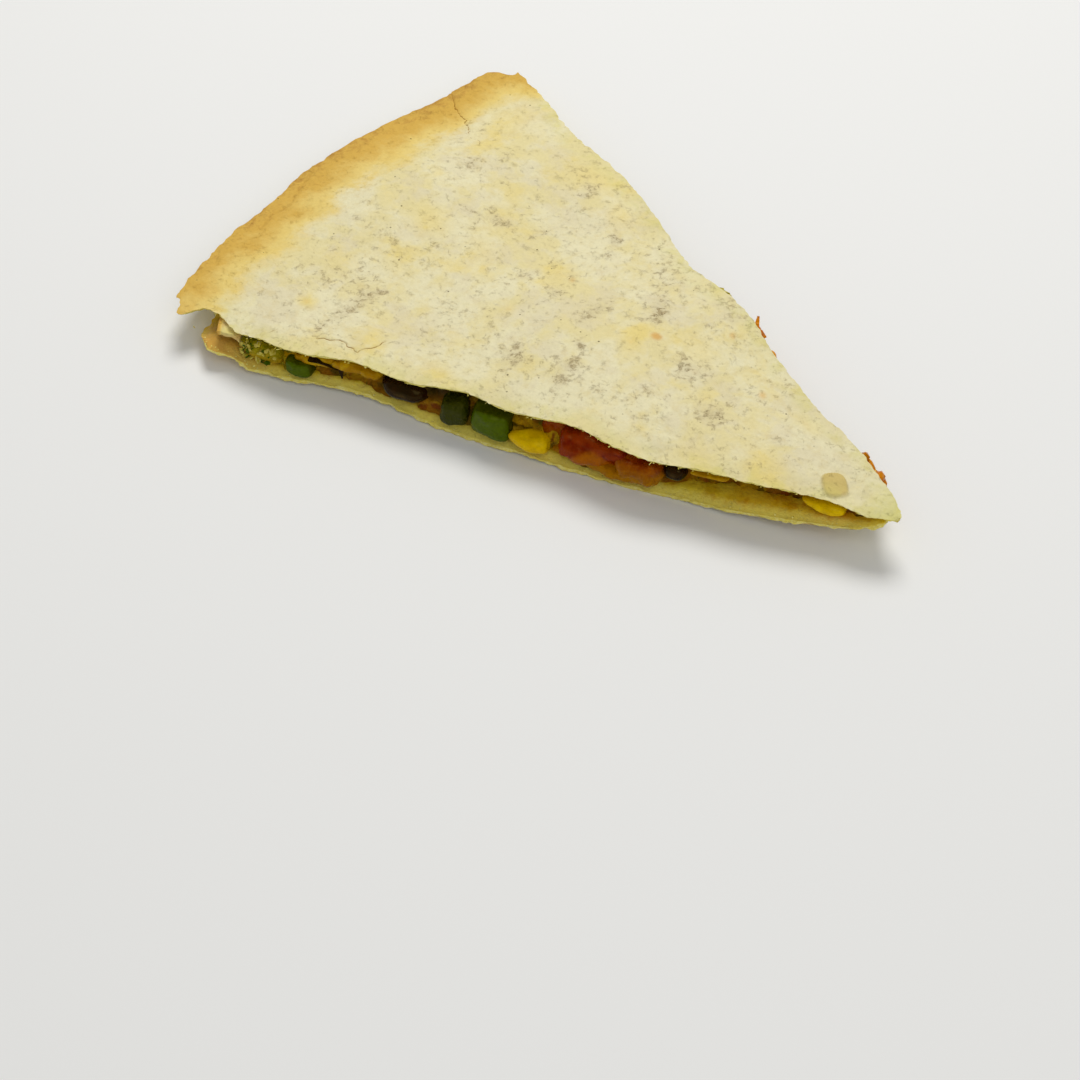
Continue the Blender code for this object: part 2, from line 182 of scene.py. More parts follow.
TOAST_SPOTS = (
    (62.5, 5.0, 1.5, 1.2, 0, 1.3),
    (65.2, 0.6, 2.8, 1.8, 70, 0.5),
    (87.3, 8.7, 1.6, 1.0, 60, 0.9),
    (52.0, 15.5, 1.5, 1.0, 50, 0.9),
    (37.6, 6.9, 1.8, 1.2, 50, 0.9),
    (26.5, 6.3, 2.2, 1.2, 20, 0.5),
    (90.2, -7.0, 1.6, 1.2, 70, 0.6),
    (122.1, -31.2, 1.4, 1.2, 0, 0.6),
    (29.0, -13.0, 5.0, 2.2, 30, 0.3),
    (51.0, 2.6, 2.0, 1.6, 30, 0.5),
)
# Cracks in the top sheet, each a row of places in millimetres, with its depth and half its width
CRACKS = (
    (
        (112.3, -38.1), (111.2, -37.0), (110.0, -36.7), (108.8, -35.6), (107.6, -35.4), (106.2, -35.9),
        (104.6, -35.6), (103.3, -36.3), (103.0, -34.6), (102.1, -33.4), (101.7, -31.8), (101.3, -29.6),
    ),
    ((152.3, 41.9), (150.1, 41.1), (146.7, 38.1), (142.2, 36.3), (137.7, 32.8)),
    ((137.7, 32.8), (135.9, 31.3), (133.6, 31.2), (131.3, 29.6)),
    ((153.0, 1.6), (151.2, -3.4), (149.6, -6.9), (147.6, -11.5), (148.4, -15.1), (146.5, -20.2)),
    ((120.9, -44.9), (120.7, -43.6), (120.2, -42.4), (120.0, -41.0)),
)
CRACK_DEPTHS = (0.20, 0.20, 0.10, 0.16, 0.10)
CRACK_WIDTHS = (0.13, 0.13, 0.12, 0.5, 0.12)
CRACK_SHADES = (1.0, 0.9, 0.6, 0.40, 0.6)
BLISTER = (106.0, -30.8, 5.6, 6.0, 0, 0.50)  # raised skin behind the longest crack
BUMP = (13.1, -2.4, 2.8, 2.4, 40)  # where a kernel presses against the sheet
BUMP_HEIGHT = 0.8
# Shallow creases: each a row of places in millimetres
CREASES = (
    ((114.0, -37.4), (114.6, -32.9), (113.6, -26.4), (115.2, -22.2), (113.0, -18.0)),
    ((49.5, -15.4), (45.9, -13.6), (42.0, -13.2)),
    ((96.5, -17.0), (92.0, -12.0), (90.5, -5.0)),
    ((64.0, 14.0), (58.0, 12.0), (55.0, 6.0)),
    ((8.0, -3.2), (10.5, -1.0), (11.0, 3.0)),
    ((6.5, -1.2), (7.5, 1.2), (7.2, 3.2)),
)


def smooth(low, high, value):
    """0 below low, 1 above high, and a smooth step between them."""
    part = min(max((value - low) / (high - low), 0.0), 1.0)
    return part * part * (3.0 - 2.0 * part)


def hill(value, centre, width):
    """1 at the centre, falling off to each side."""
    return math.exp(-(((value - centre) / width) ** 2))


# ---- The plan of the slice: along runs from the tip to the rim, side is -1 at the front, 1 at the back


def clean_cut(along, side):
    """How far a cut lies from the middle line, without its unevenness."""
    bow = BOW * hill(along, BOW_ALONG, BOW_WIDTH)
    return TIP_HALF + CUT_SLOPE * along - side * bow


def uneven(along, side, wave):
    """How far a cut strays from clean_cut, which is nothing at the tip."""
    height, crest, length = wave
    stray = height * math.cos(2.0 * math.pi * (along - crest) / length)
    stray += CUT_NICK * math.sin(along / (3.9 * MM) - side)
    return stray * smooth(8 * MM, 30 * MM, along)


def hills(along, places):
    """The sum of some hills, each with its middle, its width and its height."""
    return sum(height * hill(along, middle, width) for middle, width, height in places)


def top_cut(along, side):
    """How far the top sheet's cut edge lies from the middle line."""
    edge = clean_cut(along, side)
    if side > 0:
        return edge + uneven(along, side, BACK_WAVE) - BACK_TRIM * smooth(110 * MM, 140 * MM, along)
    edge += uneven(along, side, FRONT_WAVE) - FRONT_IN[0] * smooth(*FRONT_IN[1:], along)
    edge = min(edge, FRONT_TRIM) + hills(along, FRONT_BAYS)
    return edge + HOOK_REACH * hill(along, HOOK_ALONG, HOOK_WIDTH)


def under_cut(along, side):
    """How far the bottom sheet's cut edge lies from the middle line."""
    edge = clean_cut(along, side) - UNDER_CUT
    if side > 0:
        edge += uneven(along, side, UNDER_WAVE) + hills(along, [UNDER_PROUD])
        return min(edge, FRONT_TRIM + UNDER_TRIM[1])
    edge -= UNDER_IN[0] * smooth(*UNDER_IN[1:], along) + hills(along, [UNDER_BAY])
    return min(edge, FRONT_TRIM + UNDER_TRIM[0]) + CORNER_EAR * hill(along, CORNER_AT[0], CORNER_SPREAD / 2)


def rim_reach(across):
    """How far the top sheet's rim lies from the tip, measured straight out. across is -1 to 1."""
    wave = math.sin(5.2 * across + 0.6) + 0.5 * math.sin(13.0 * across + 2.0)
    reach = RADIUS - 0.4 * MM + RIM_SKEW * across + RIM_WAVE * wave * (1.0 - across * across)
    return reach - CHIP_DEPTH * hill(across, *CHIP_ACROSS)


def under_reach(across):
    """How far the bottom sheet's rim lies from the tip."""
    wave = math.sin(4.1 * across - 0.9) + 0.5 * math.sin(11.0 * across)
    reach = RADIUS - UNDER_RIM + RIM_WAVE * wave
    return reach - UNDER_CORNER * smooth(0.45, 1.0, -across)


def filling_cut(along, side):
    """How far the filling reaches from the middle line."""
    wave = math.sin(along / (5.3 * MM) + 2.4 * side) + 0.7 * math.sin(along / (2.9 * MM) + side)
    edge = min(top_cut(along, side), under_cut(along, side))
    if side < 0:
        edge *= FILL_SHARE + (1.0 - FILL_SHARE) * smooth(8 * MM, 46 * MM, along)
    edge -= FILL_CUT * smooth(0.0, 30 * MM, along)
    return min(edge + FILL_WAVE * wave * smooth(20 * MM, 40 * MM, along), FRONT_TRIM - 2 * MM)


def filling_reach(across):
    """How far the filling reaches from the tip."""
    wave = math.sin(6.3 * across + 1.1) + 0.6 * math.sin(15.0 * across)
    reach = RADIUS - FILL_RIM + 1.4 * MM * wave
    return reach - FILL_CORNER * smooth(0.35, 1.0, -across)


def plan_point(start, across, cut, reach, first, last_y):
    """A point of the plan as (along, sideways).

    start runs from 0 at the tip to 1 at the rim, and across from -1 at the front cut to 1 at the back.
    first is where the piece begins, and last_y is where its rim ends on each side."""
    side = -1.0 if across < 0 else 1.0
    nose = first + TIP_ROUND * abs(across) ** 3
    rim = math.sqrt(reach(across) ** 2 - (across * last_y) ** 2)
    along = nose + start * (rim - nose)
    return along, across * cut(along, side)


# ---- The heights, all for a place given as along and sideways


def across_of(along, sideways):
    """Where a place lies between the cuts, from -1 to 1."""
    side = -1.0 if sideways < 0 else 1.0
    return max(-1.0, min(1.0, sideways / clean_cut(max(along, 0.0), side)))


def rim_share(along, sideways):
    """0 inside the browned band and 1 at the rim."""
    return smooth(RADIUS - RIM_BAND, RADIUS, math.hypot(along, sideways))


def sheet_thickness(along, sideways):
    thin = max(rim_share(along, sideways), 1.0 - smooth(0.0, 25 * MM, along))
    return SHEET + (SHEET_THIN - SHEET) * thin


def tip_lift(along):
    """How high the stiff crust holds the slice towards its tip."""
    return TIP_LIFT * max(0.0, 1.0 - along / BELLY_START) ** 1.6


def under_low(along, sideways):
    """The underside of the slice."""
    from_corner = math.hypot(along - CORNER_AT[0], sideways - CORNER_AT[1])
    curl = RIM_CURL * rim_share(along, sideways) ** 2 + CORNER_LIFT * hill(from_corner, 0.0, CORNER_SPREAD)
    edge = abs(across_of(along, sideways)) ** 4
    return tip_lift(along) + curl + edge * hills(along, CUT_WAVES)


def under_high(along, sideways):
    """The top of the bottom sheet."""
    return under_low(along, sideways) + sheet_thickness(along, sideways)


def stack(along):
    """The slice's thickness at its cuts."""
    rise = 1.0 - math.exp(-((max(along, 0.0) / STACK_RUN) ** 1.2))
    return STACK_TIP + (STACK_FULL - STACK_TIP) * rise - STACK_DROP * smooth(50 * MM, 110 * MM, along)


def top_high(along, sideways):
    """The top of the slice."""
    across = across_of(along, sideways)
    crown = CROWN * (1.0 - across * across) * smooth(0.0, 35 * MM, along)
    droop = RIM_DROOP * rim_share(along, sideways)
    droop *= 1.0 - (1.0 - DROOP_SHARES[0]) * smooth(0.3, 0.95, -across)
    droop *= 1.0 - (1.0 - DROOP_SHARES[1]) * smooth(0.5, 1.0, across)
    ripple = sum(height * math.sin(along / run + sideways / width) for run, width, height in RIPPLES)
    ripple *= smooth(15 * MM, 50 * MM, along)
    lift = smooth(0.4, 1.0, -across) * hills(along, FRONT_LIFTS)
    return tip_lift(along) + stack(along) + crown - droop + ripple + lift


def top_low(along, sideways):
    """The underside of the top sheet."""
    return top_high(along, sideways) - sheet_thickness(along, sideways)


def place(along, sideways, height):
    """A point of the slice in the part's own frame."""
    return Vector((TIP_X - along, MIDDLE_Y + sideways, height))


def spread(part, pull):
    """Moves evenly spaced steps from 0 to 1 closer together towards both ends."""
    return part - pull * math.sin(2.0 * math.pi * part) / (2.0 * math.pi)


def grain(along, sideways, size, seed=0.0):
    """Smooth noise from about -1 to 1, with lumps of a given size in millimetres."""
    return noise.noise(Vector((along / MM / size + seed, sideways / MM / size - seed, 0.37 + seed)))


def stain(stains, along, sideways):
    """How strong the nearest of some oval stains is at a place."""
    best = 0.0
    for centre, aside, length, width, turn, strength in stains:
        x = along / MM - centre
        y = sideways / MM - aside
        if abs(x) + abs(y) > 3.5 * max(length, width):
            continue
        cosine = math.cos(math.radians(turn))
        sine = math.sin(math.radians(turn))
        oval = ((x * cosine + y * sine) / length) ** 2 + ((y * cosine - x * sine) / width) ** 2
        best = max(best, strength * math.exp(-oval))
    return best


def line_distance(line, x, y):
    """How far a place in millimetres is from a row of places."""
    best = 1e9
    for (ax, ay), (bx, by) in zip(line, line[1:]):
        dx = bx - ax
        dy = by - ay
        part = max(0.0, min(1.0, ((x - ax) * dx + (y - ay) * dy) / (dx * dx + dy * dy)))
        best = min(best, math.hypot(x - ax - part * dx, y - ay - part * dy))
    return best


# ---- Finishes


def colour(red, green, blue):
    """A screen colour, each part from 0 to 255, as the linear one that a shader takes."""
    parts = [part / 255.0 for part in (red, green, blue)]
    linear = [((p + 0.055) / 1.055) ** 2.4 if p > 0.04045 else p / 12.92 for p in parts]
    return (*linear, 1.0)


WARM_SHINE = (1.0, 0.8, 0.25, 1.0)  # light that glances off oily food


class Value:
    """A number that varies over a surface. Sums and products of values add their Math nodes."""

    def __init__(self, finish, socket):
        self.finish = finish
        self.socket = socket

    def maths(self, operation, first, second):
        values = {0: first, 1: second}
        return self.finish.node("ShaderNodeMath", {"operation": operation}, values)

    def __add__(self, other):
        return self.maths("ADD", self, other)

    def __radd__(self, other):
        return self.maths("ADD", other, self)

    def __sub__(self, other):
        return self.maths("SUBTRACT", self, other)

    def __rsub__(self, other):
        return self.maths("SUBTRACT", other, self)

    def __mul__(self, other):
        return self.maths("MULTIPLY", self, other)

    def __rmul__(self, other):
        return self.maths("MULTIPLY", other, self)


CRUST_SHADES = {
    "cream": colour(229, 216, 162),
    "pale": colour(233, 225, 186),
    "cool": colour(222, 211, 176),
    "yellow": colour(233, 212, 132),
    "veil": colour(208, 196, 160),
    "soaked": colour(238, 216, 62),
    "stained": colour(212, 182, 22),
}


class Finish:
    """A procedural material whose patterns lie in the part's own frame."""

    def __init__(self, name, constants):
        self.material = bpy.data.materials.new(name)
        self.material.use_nodes = True
        self.tree = self.material.node_tree
        self.shader = self.tree.nodes["Principled BSDF"]
        for socket, value in constants.items():
            self.shader.inputs[socket].default_value = value
        self.here = self.node("ShaderNodeTexCoord", {}, {}, "Object")

    def node(self, kind, settings, values, output=0):
        """Adds a node: its settings first, then the values or links of its sockets."""
        node = self.tree.nodes.new(kind)
        for name, setting in settings.items():
            if name == "stops":
                ramp = node.color_ramp
                while len(ramp.elements) < len(setting):
                    ramp.elements.new(0.5)
                for element, (position, shade) in zip(ramp.elements, setting):
                    element.position = position
                    element.color = shade
            else:
                setattr(node, name, setting)
        for name, value in values.items():
            if isinstance(value, Value):
                self.tree.links.new(value.socket, node.inputs[name])
            else:
                node.inputs[name].default_value = value
        return Value(self, node.outputs[output])

    def turned(self, stretch=(1.0, 1.0, 1.0), turn=0.0):
        """The part's own coordinates, stretched and turned round the upright."""
        values = {"Vector": self.here, "Rotation": (0.0, 0.0, math.radians(turn)), "Scale": stretch}
        return self.node("ShaderNodeMapping", {"vector_type": "POINT"}, values)

    def cloud(self, size, detail=3.0, rough=0.5, where=None, warp=0.0, seed=0):
        """Noise from 0 to 1 with lumps of a given size in millimetres."""
        if seed:
            moved = {"Vector": self.here, "Location": (0.37 * seed, -0.21 * seed, 0.13 * seed)}
            where = self.node("ShaderNodeMapping", {"vector_type": "POINT"}, moved)
        values = {
            "Vector": where or self.here,
            "Scale": 1.0 / (size * MM),
            "Detail": detail,
            "Roughness": rough,
            "Distortion": warp,
        }
        return self.node("ShaderNodeTexNoise", {}, values)

    def cells(self, size, output="Distance", where=None):
        """Scattered cells of a given size in millimetres: the distance from their centres, or colours."""
        values = {"Vector": where or self.here, "Scale": 1.0 / (size * MM)}
        return self.node("ShaderNodeTexVoronoi", {}, values, output)

    def step(self, value, low, high):
        """0 where the value is below low and 1 where it is above high. Low may be the greater."""
        settings = {"interpolation_type": "SMOOTHSTEP", "clamp": True}
        values = {"Value": value, "From Min": low, "From Max": high}
        return self.node("ShaderNodeMapRange", settings, values)

    def mark(self, name):
        """One of the marks that are kept on a piece's points."""
        settings = {"attribute_type": "GEOMETRY", "attribute_name": name}
        return self.node("ShaderNodeAttribute", settings, {}, "Fac")

    def mix(self, mask, first, second, blend="MIX"):
        settings = {"data_type": "RGBA", "blend_type": blend, "clamp_factor": True}
        return self.node("ShaderNodeMix", settings, {0: mask, 6: first, 7: second}, 2)

    def relief(self, height, depth, under=None):
        """Fine relief: a height from 0 to 1 that stands for a depth in millimetres."""
        values = {"Height": height, "Strength": 1.0, "Distance": depth * MM}
        if under:
            values["Normal"] = under
        return self.node("ShaderNodeBump", {}, values)

    def use(self, **links):
        """Feeds the shader's sockets, which are named here with _ for a space."""
        for name, value in links.items():
            self.tree.links.new(value.socket, self.shader.inputs[name.replace("_", " ")])
        return self.material


def crust_finish(name, shades, toasted):
    """Baked flour tortilla. toasted is how far the outer side has browned in spots, from 0 to 1."""
    f = Finish(name, {"Specular IOR Level": 0.2, "Specular Tint": WARM_SHINE})
    broad = f.cloud(15, 2.0, seed=1)
    middle = f.cloud(4.2, 4.0, 0.6, warp=0.5)
    small = f.cloud(1.7, 6.0, 0.72, warp=0.3)
    fine = f.cloud(0.7, 4.0, 0.65)
    skin = f.mark("skin")
    tone = f.mix(f.step(broad + (middle - 0.5) * 0.6, 0.36, 0.60), shades["cream"], shades["pale"])
    cool = f.step(f.cloud(11, 3.0, 0.6, seed=3) + (middle - 0.5) * 0.5, 0.47, 0.66)
    tone = f.mix(cool * 0.6, tone, shades["cool"])
    drift = f.mark("yellow") * (0.4 + middle) + f.step(f.cloud(9, 4.0, 0.6, seed=5), 0.48, 0.74) * 0.7
    tone = f.mix(f.step(drift + (small - 0.5) * 0.3, 0.1, 1.25) * 0.85, tone, shades["yellow"])
    tan = f.step(f.cloud(3.0, 6.0, 0.72, seed=6) + (broad - 0.5) * 0.25, 0.50, 0.70)
    tone = f.mix(tan * 0.34, tone, colour(214, 194, 136))
    bands = f.step(f.cloud(13, 4.0, 0.6, seed=8), 0.50, 0.68)
    # murky carries the grey stains and bands, and also the painted shade of the first crease.
    murky = f.mark("grey") + bands * 0.5
    veil = f.step(murky + (small - 0.5) * 1.4, 0.2, 1.2)
    tone = f.mix(veil * 0.5, tone, shades["veil"])
    clumps = f.step(small + murky * 0.08, 0.54, 0.70)
    tone = f.mix(clumps * (0.18 + murky * 0.40), tone, colour(172, 153, 112))
    flecks = f.step(f.cloud(0.6, 4.0, 0.7, seed=2) + murky * 0.04, 0.59, 0.70)
    tone = f.mix(flecks * clumps * (0.20 + murky * 0.62), tone, colour(112, 92, 60))
    # Thin winding fold lines, pressed in by the relief below and painted darker: painted shade in fine wrinkles.
    wander = f.cloud(1.5, 4.0, 0.65, seed=7) - 0.5
    shaded_folds = f.step(wander * wander, 0.0011, 0.0) * f.step(small + murky * 0.06, 0.52, 0.64)
    tone = f.mix(shaded_folds * (0.07 + murky * 0.24), tone, colour(156, 132, 88))
    # Greyer where the grey mark is strong: real grey stains, and painted shade along the first crease.
    tone = f.mix(f.step(f.mark("grey") + (small - 0.5), 0.8, 1.7) * 0.55, tone, colour(176, 163, 130))
    spots = f.step(f.mark("toast") * (0.5 + middle), 0.3, 1.3)
    tone = f.mix(spots * 0.8, tone, colour(220, 168, 84))
    tone = f.mix(f.mark("bump") * 0.85, tone, colour(206, 180, 100))
    tone = f.mix(f.mark("tip") * (0.4 + middle * 0.5), tone, colour(204, 200, 104))
    tone = f.mix(f.mark("edge") * (0.08 + f.step(middle, 0.40, 0.64) * 0.5), tone, colour(216, 206, 120))
    if toasted > 0:
        griddle = f.step(f.cloud(9, 4.0, 0.6, warp=1.0, seed=9) + (fine - 0.5) * 0.12, 0.50, 0.68)
        tone = f.mix(griddle * toasted, tone, colour(210, 170, 100))
        burnt = f.step(f.cloud(5.5, 4.0, 0.6, warp=1.0), 0.60, 0.74)
        tone = f.mix(burnt * toasted * 0.8, tone, colour(164, 116, 60))
    heat = f.mark("rim") + (f.cloud(8, 3.0, 0.5, seed=4) - 0.5) * 0.40 + (middle - 0.5) * 0.30 + (small - 0.5) * 0.2
    tone = f.mix(f.step(heat, 0.32, 0.58) * 0.9, tone, colour(232, 204, 116))
    tone = f.mix(f.step(heat, 0.52, 0.86) * 0.85, tone, colour(212, 168, 72))
    scorch = f.cloud(2.2, 6.0, 0.72, f.turned((1.5, 1.0, 1.0), -18.0), 0.8)
    tone = f.mix(f.step(heat + (scorch - 0.5) * 1.1, 0.84, 1.2) * 0.65, tone, colour(176, 126, 60))
    seeds = f.step(f.cells(3.1), 0.075, 0.045)
    chosen = f.step(f.cells(3.1, "Color"), 0.58, 0.66)
    tone = f.mix(seeds * chosen * f.step(small, 0.36, 0.5) * 0.85, tone, colour(84, 66, 34))
    tone = f.mix(f.step(f.mark("crack") + (fine - 0.5) * 0.5, 0.15, 0.85) * 0.9, tone, colour(148, 104, 30))
    inner = f.mix(f.step(middle, 0.35, 0.65), shades["soaked"], shades["stained"])
    inner = f.mix(f.step(f.cloud(6, 4.0, 0.6, warp=1.0), 0.52, 0.68) * 0.65, inner, colour(176, 112, 4))
    inner = f.mix(f.mark("oil") * (0.4 + middle), inner, colour(206, 140, 4))
    # Paler towards the cut: partly the lip's own paler colour, partly painted light where the lip is lit and the part
    # further in is shaded.
    inner = f.mix(f.step(f.mark("edge") + (small - 0.5) * 0.5, 0.62, 1.0) * 0.8, inner, colour(243, 229, 112))
    inner = f.mix(f.mark("brown") * (0.5 + middle), inner, colour(208, 162, 74))
    wall = f.mix(f.step(fine, 0.35, 0.65), colour(240, 230, 140), colour(224, 206, 92))
    tone = f.mix(f.step(skin, 0.97, 0.80), tone, wall)
    tone = f.mix(f.step(skin, 0.16, 0.05), tone, inner)
    tone = f.mix(1.0, tone, 0.95 + 0.05 * f.step(fine, 0.3, 0.62), "MULTIPLY")
    bumps = f.relief(f.cloud(2.4, 5.0, 0.6), 0.40)
    bumps = f.relief(f.cloud(0.8, 3.0, 0.6), 0.09, bumps)
    bumps = f.relief(1.0 - shaded_folds, 0.06, bumps)
    rough = 0.78 + (fine - 0.5) * 0.2 - f.step(skin, 0.16, 0.05) * 0.34
    return f.use(Base_Color=tone, Roughness=rough, Normal=bumps)


def filling_finish():
    """Melted cheese with sauce, herbs and small bits in it, with painted shade from its dark mark. Its sides are wet.
    """
    f = Finish("melted_filling", {"Specular IOR Level": 0.2, "Specular Tint": WARM_SHINE})
    broad = f.cloud(6.5, 3.0, 0.5, warp=0.8)
    middle = f.cloud(2.2, 4.0, 0.6, warp=0.6)
    fine = f.cloud(0.7, 3.0, 0.6)
    tone = f.mix(f.step(middle, 0.35, 0.65), colour(150, 112, 2), colour(190, 150, 10))
    tone = f.mix(f.step(broad, 0.42, 0.58), tone, colour(128, 78, 2))
    tone = f.mix(f.step(f.cloud(4.2, 3.0, 0.5, warp=1.0), 0.54, 0.66) * 0.9, tone, colour(110, 44, 2))
    tone = f.mix(f.step(f.cloud(3.4, 4.0, 0.6, seed=3), 0.52, 0.62) * 0.8, tone, colour(66, 52, 2))
    # Painted shade from the dark mark, under the top sheet and between pieces.
    tone = f.mix(f.mark("dark") * 0.92, tone, colour(40, 26, 2))
    curd = f.mix(f.step(fine, 0.4, 0.6), colour(104, 110, 6), colour(184, 170, 40))
    tone = f.mix(f.mark("herbs"), tone, curd)
    leaf = f.step(f.cloud(1.4, 3.0, 0.6), 0.62, 0.70)
    tone = f.mix(leaf * 0.7, tone, colour(70, 80, 2))
    bumps = f.relief(middle, 0.5)
    bumps = f.relief(fine, 0.14, bumps)
    return f.use(Base_Color=tone, Roughness=0.3 + fine * 0.3, Normal=bumps)


def morsel_finish(name, first, second, third, constants, size=2.2, gloss=0.3, lumps=0.25):
    """A moist piece of food in three shades that drift into one another."""
    f = Finish(name, {"Specular IOR Level": 0.16, "Specular Tint": WARM_SHINE, **constants})
    broad = f.cloud(size, 3.0, 0.5, warp=0.6)
    fine = f.cloud(size * 0.4, 3.0, 0.6)
    tone = f.mix(f.step(broad, 0.34, 0.62), first, second)
    tone = f.mix(f.step(f.mark("tint") + (fine - 0.5) * 0.4, 0.15, 0.95), tone, third)
    tone = f.mix(1.0, tone, 0.85 + 0.15 * f.step(fine, 0.3, 0.65), "MULTIPLY")
    bumps = f.relief(f.cloud(size * 0.5, 3.0, 0.5), lumps)
    bumps = f.relief(fine, lumps * 0.25, bumps)
    return f.use(Base_Color=tone, Roughness=gloss + (fine - 0.5) * 0.2, Normal=bumps)


# ---- Making pieces


def finish_mesh(bm, name, material, node=None, sharp=50.0):
    """Closes a bmesh into a piece that rides on the slice and may stand for one of its solids."""
    bmesh.ops.recalc_face_normals(bm, faces=bm.faces)
    mesh = bpy.data.meshes.new(name)
    bm.to_mesh(mesh)
    bm.free()
    mesh.materials.append(material)
    mesh.shade_smooth()
    mesh.set_sharp_from_angle(angle=math.radians(sharp))
    piece = bpy.data.objects.new(name, mesh)
    bpy.context.scene.collection.objects.link(piece)
    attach(piece, "root")
    if node:
        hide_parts(node)
    return piece


def new_layers(bm, names):
    return {name: bm.verts.layers.float.new(name) for name in names}


def divide_along(bm, line, width):
    """Divides a flat grid finer near a row of places, whose lengths are in millimetres."""
    low = [min(point[i] for point in line) - width for i in (0, 1)]
    high = [max(point[i] for point in line) + width for i in (0, 1)]
    near = []
    for edge in bm.edges:
        middle = (edge.verts[0].co + edge.verts[1].co) / (2 * MM)
        if low[0] < middle.x < high[0] and low[1] < middle.y < high[1]:
            if line_distance(line, middle.x, middle.y) < width:
                near.append(edge)
    bmesh.ops.subdivide_edges(bm, edges=near, cuts=3, use_grid_fill=True)


def flat_layer(steps, rows, plan, names, lines=()):
    """A closed layer with no thickness yet. Its depth mark is 0 on top, 1 below, and between at the sides."""
    bm = bmesh.new()
    layers = new_layers(bm, ("depth", *names))
    bmesh.ops.create_grid(bm, x_segments=steps[0], y_segments=steps[1], size=0.5)
    for vert in bm.verts:
        start = spread(vert.co.x + 0.5, 0.4)
        across = 2.0 * spread(vert.co.y + 0.5, 0.45) - 1.0
        vert.co = (*plan(start, across), 0.0)
    for line in lines:
        divide_along(bm, line, 0.9)
    drawn = bmesh.ops.extrude_face_region(bm, geom=bm.faces[:])
    for item in drawn["geom"]:
        if isinstance(item, bmesh.types.BMVert):
            item[layers["depth"]] = 1.0
    depth = layers["depth"]
    upright = [edge for edge in bm.edges if abs(edge.verts[0][depth] - edge.verts[1][depth]) > 0.5]
    bmesh.ops.subdivide_edges(bm, edges=upright, cuts=rows, use_grid_fill=True)
    return bm, layers


def fray(bm, layers, bulge, ragged, size, seed):
    """Rounds the sides of a layer and makes them ragged. Lengths are in millimetres."""
    bm.normal_update()
    depth = layers["depth"]
    for vert in bm.verts:
        if any(abs(edge.other_vert(vert)[depth] - vert[depth]) > 0.01 for edge in vert.link_edges):
            out = Vector((vert.normal.x, vert.normal.y, 0.0))
            if out.length > 0.0:
                where = vert.co / MM / size
                where.z *= 2.6
                rag = noise.noise(where + Vector((seed, 0.0, seed)))
                rag += 0.5 * noise.noise(2.7 * where - Vector((seed, seed, 0.0)))
                swell = bulge * math.sin(math.pi * vert[depth])
                vert.co += (swell + ragged * rag) * MM * out.normalized()


def bump_share(along, sideways):
    """1 on the kernel that shows through the sheet, with a rounded edge."""
    middle, aside, length, width, turn = BUMP
    cosine = math.cos(math.radians(turn))
    sine = math.sin(math.radians(turn))
    x = along / MM - middle
    y = sideways / MM - aside
    part = abs((x * cosine + y * sine) / length) ** 3 + abs((y * cosine - x * sine) / width) ** 3
    return 1.0 - smooth(0.55, 1.35, part)


def top_relief(along, sideways):
    """Low relief of the top sheet's outer side, in millimetres."""
    x = along / MM
    y = sideways / MM
    height = 0.24 * grain(along, sideways, 8.0) + 0.15 * grain(along, sideways, 3.3, 4.0)
    height += 0.06 * grain(along, sideways, 1.5, 9.0)
    height += stain((BLISTER,), along, sideways) + BUMP_HEIGHT * bump_share(along, sideways)
    height += 0.10 * stain(TOAST_SPOTS, along, sideways)
    for crease in CREASES:
        gap = line_distance(crease, x, y)
        if gap < 4.0:
            height -= (0.20 + 0.1 * grain(along, sideways, 2.0, 7.0)) * math.exp(-((gap / 1.1) ** 2))
    rim = rim_share(along, sideways)
    height += 0.16 * rim * grain(along * 0.6, sideways * 1.7, 2.6, 2.0)
    depth = 0.0
    shade = 0.0
    for line, deep, wide, dark in zip(CRACKS, CRACK_DEPTHS, CRACK_WIDTHS, CRACK_SHADES):
        if min(p[0] for p in line) - 2 < x < max(p[0] for p in line) + 2:
            jag = 0.28 * grain(along, sideways, 1.6, 2.0) + 0.16 * grain(along, sideways, 0.7, 3.0)
            gap = line_distance(line, x + jag, y - jag) / wide
            if gap < 3.0:
                depth = max(depth, deep * math.exp(-gap * gap))
                shade = max(shade, dark * math.exp(-gap * gap))
    return height - depth - 0.12, shade * (0.75 + 0.5 * grain(along, sideways, 1.3, 5.0))


def edge_marks(along, sideways, cut, reach):
    """How near a place is to its sheet's rim and to its cuts, each 1 there and 0 well inside."""
    side = -1.0 if sideways < 0 else 1.0
    to_cut = (cut(along, side) - abs(sideways)) * math.cos(math.atan(CUT_SLOPE))
    to_rim = reach(across_of(along, sideways)) - math.hypot(along, sideways)
    across = across_of(along, sideways)
    paler = 1.0 - 0.15 * smooth(0.45, 0.95, abs(across - 0.1))
    band = 25 * MM - 8 * MM * smooth(0.2, 0.8, across)
    return 1.0 - smooth(0.0, 6 * MM, to_cut), paler * max(0.0, 1.0 - to_rim / band)


CUT_THIN = 0.5  # how much thinner a sheet is at its cuts
CUT_LEAN = 0.8 * MM  # how much further in a sheet's lower edge lies at its cuts
HOLLOW = 2.2 * MM  # how far the filling has drawn back under the top sheet
TIP_HOLLOW = 3.2 * MM  # how much further it has drawn back beside the tip, in front
CRUST_MARKS = ("skin", "edge", "rim", "yellow", "grey", "toast", "crack", "bump", "brown", "oil", "tip")


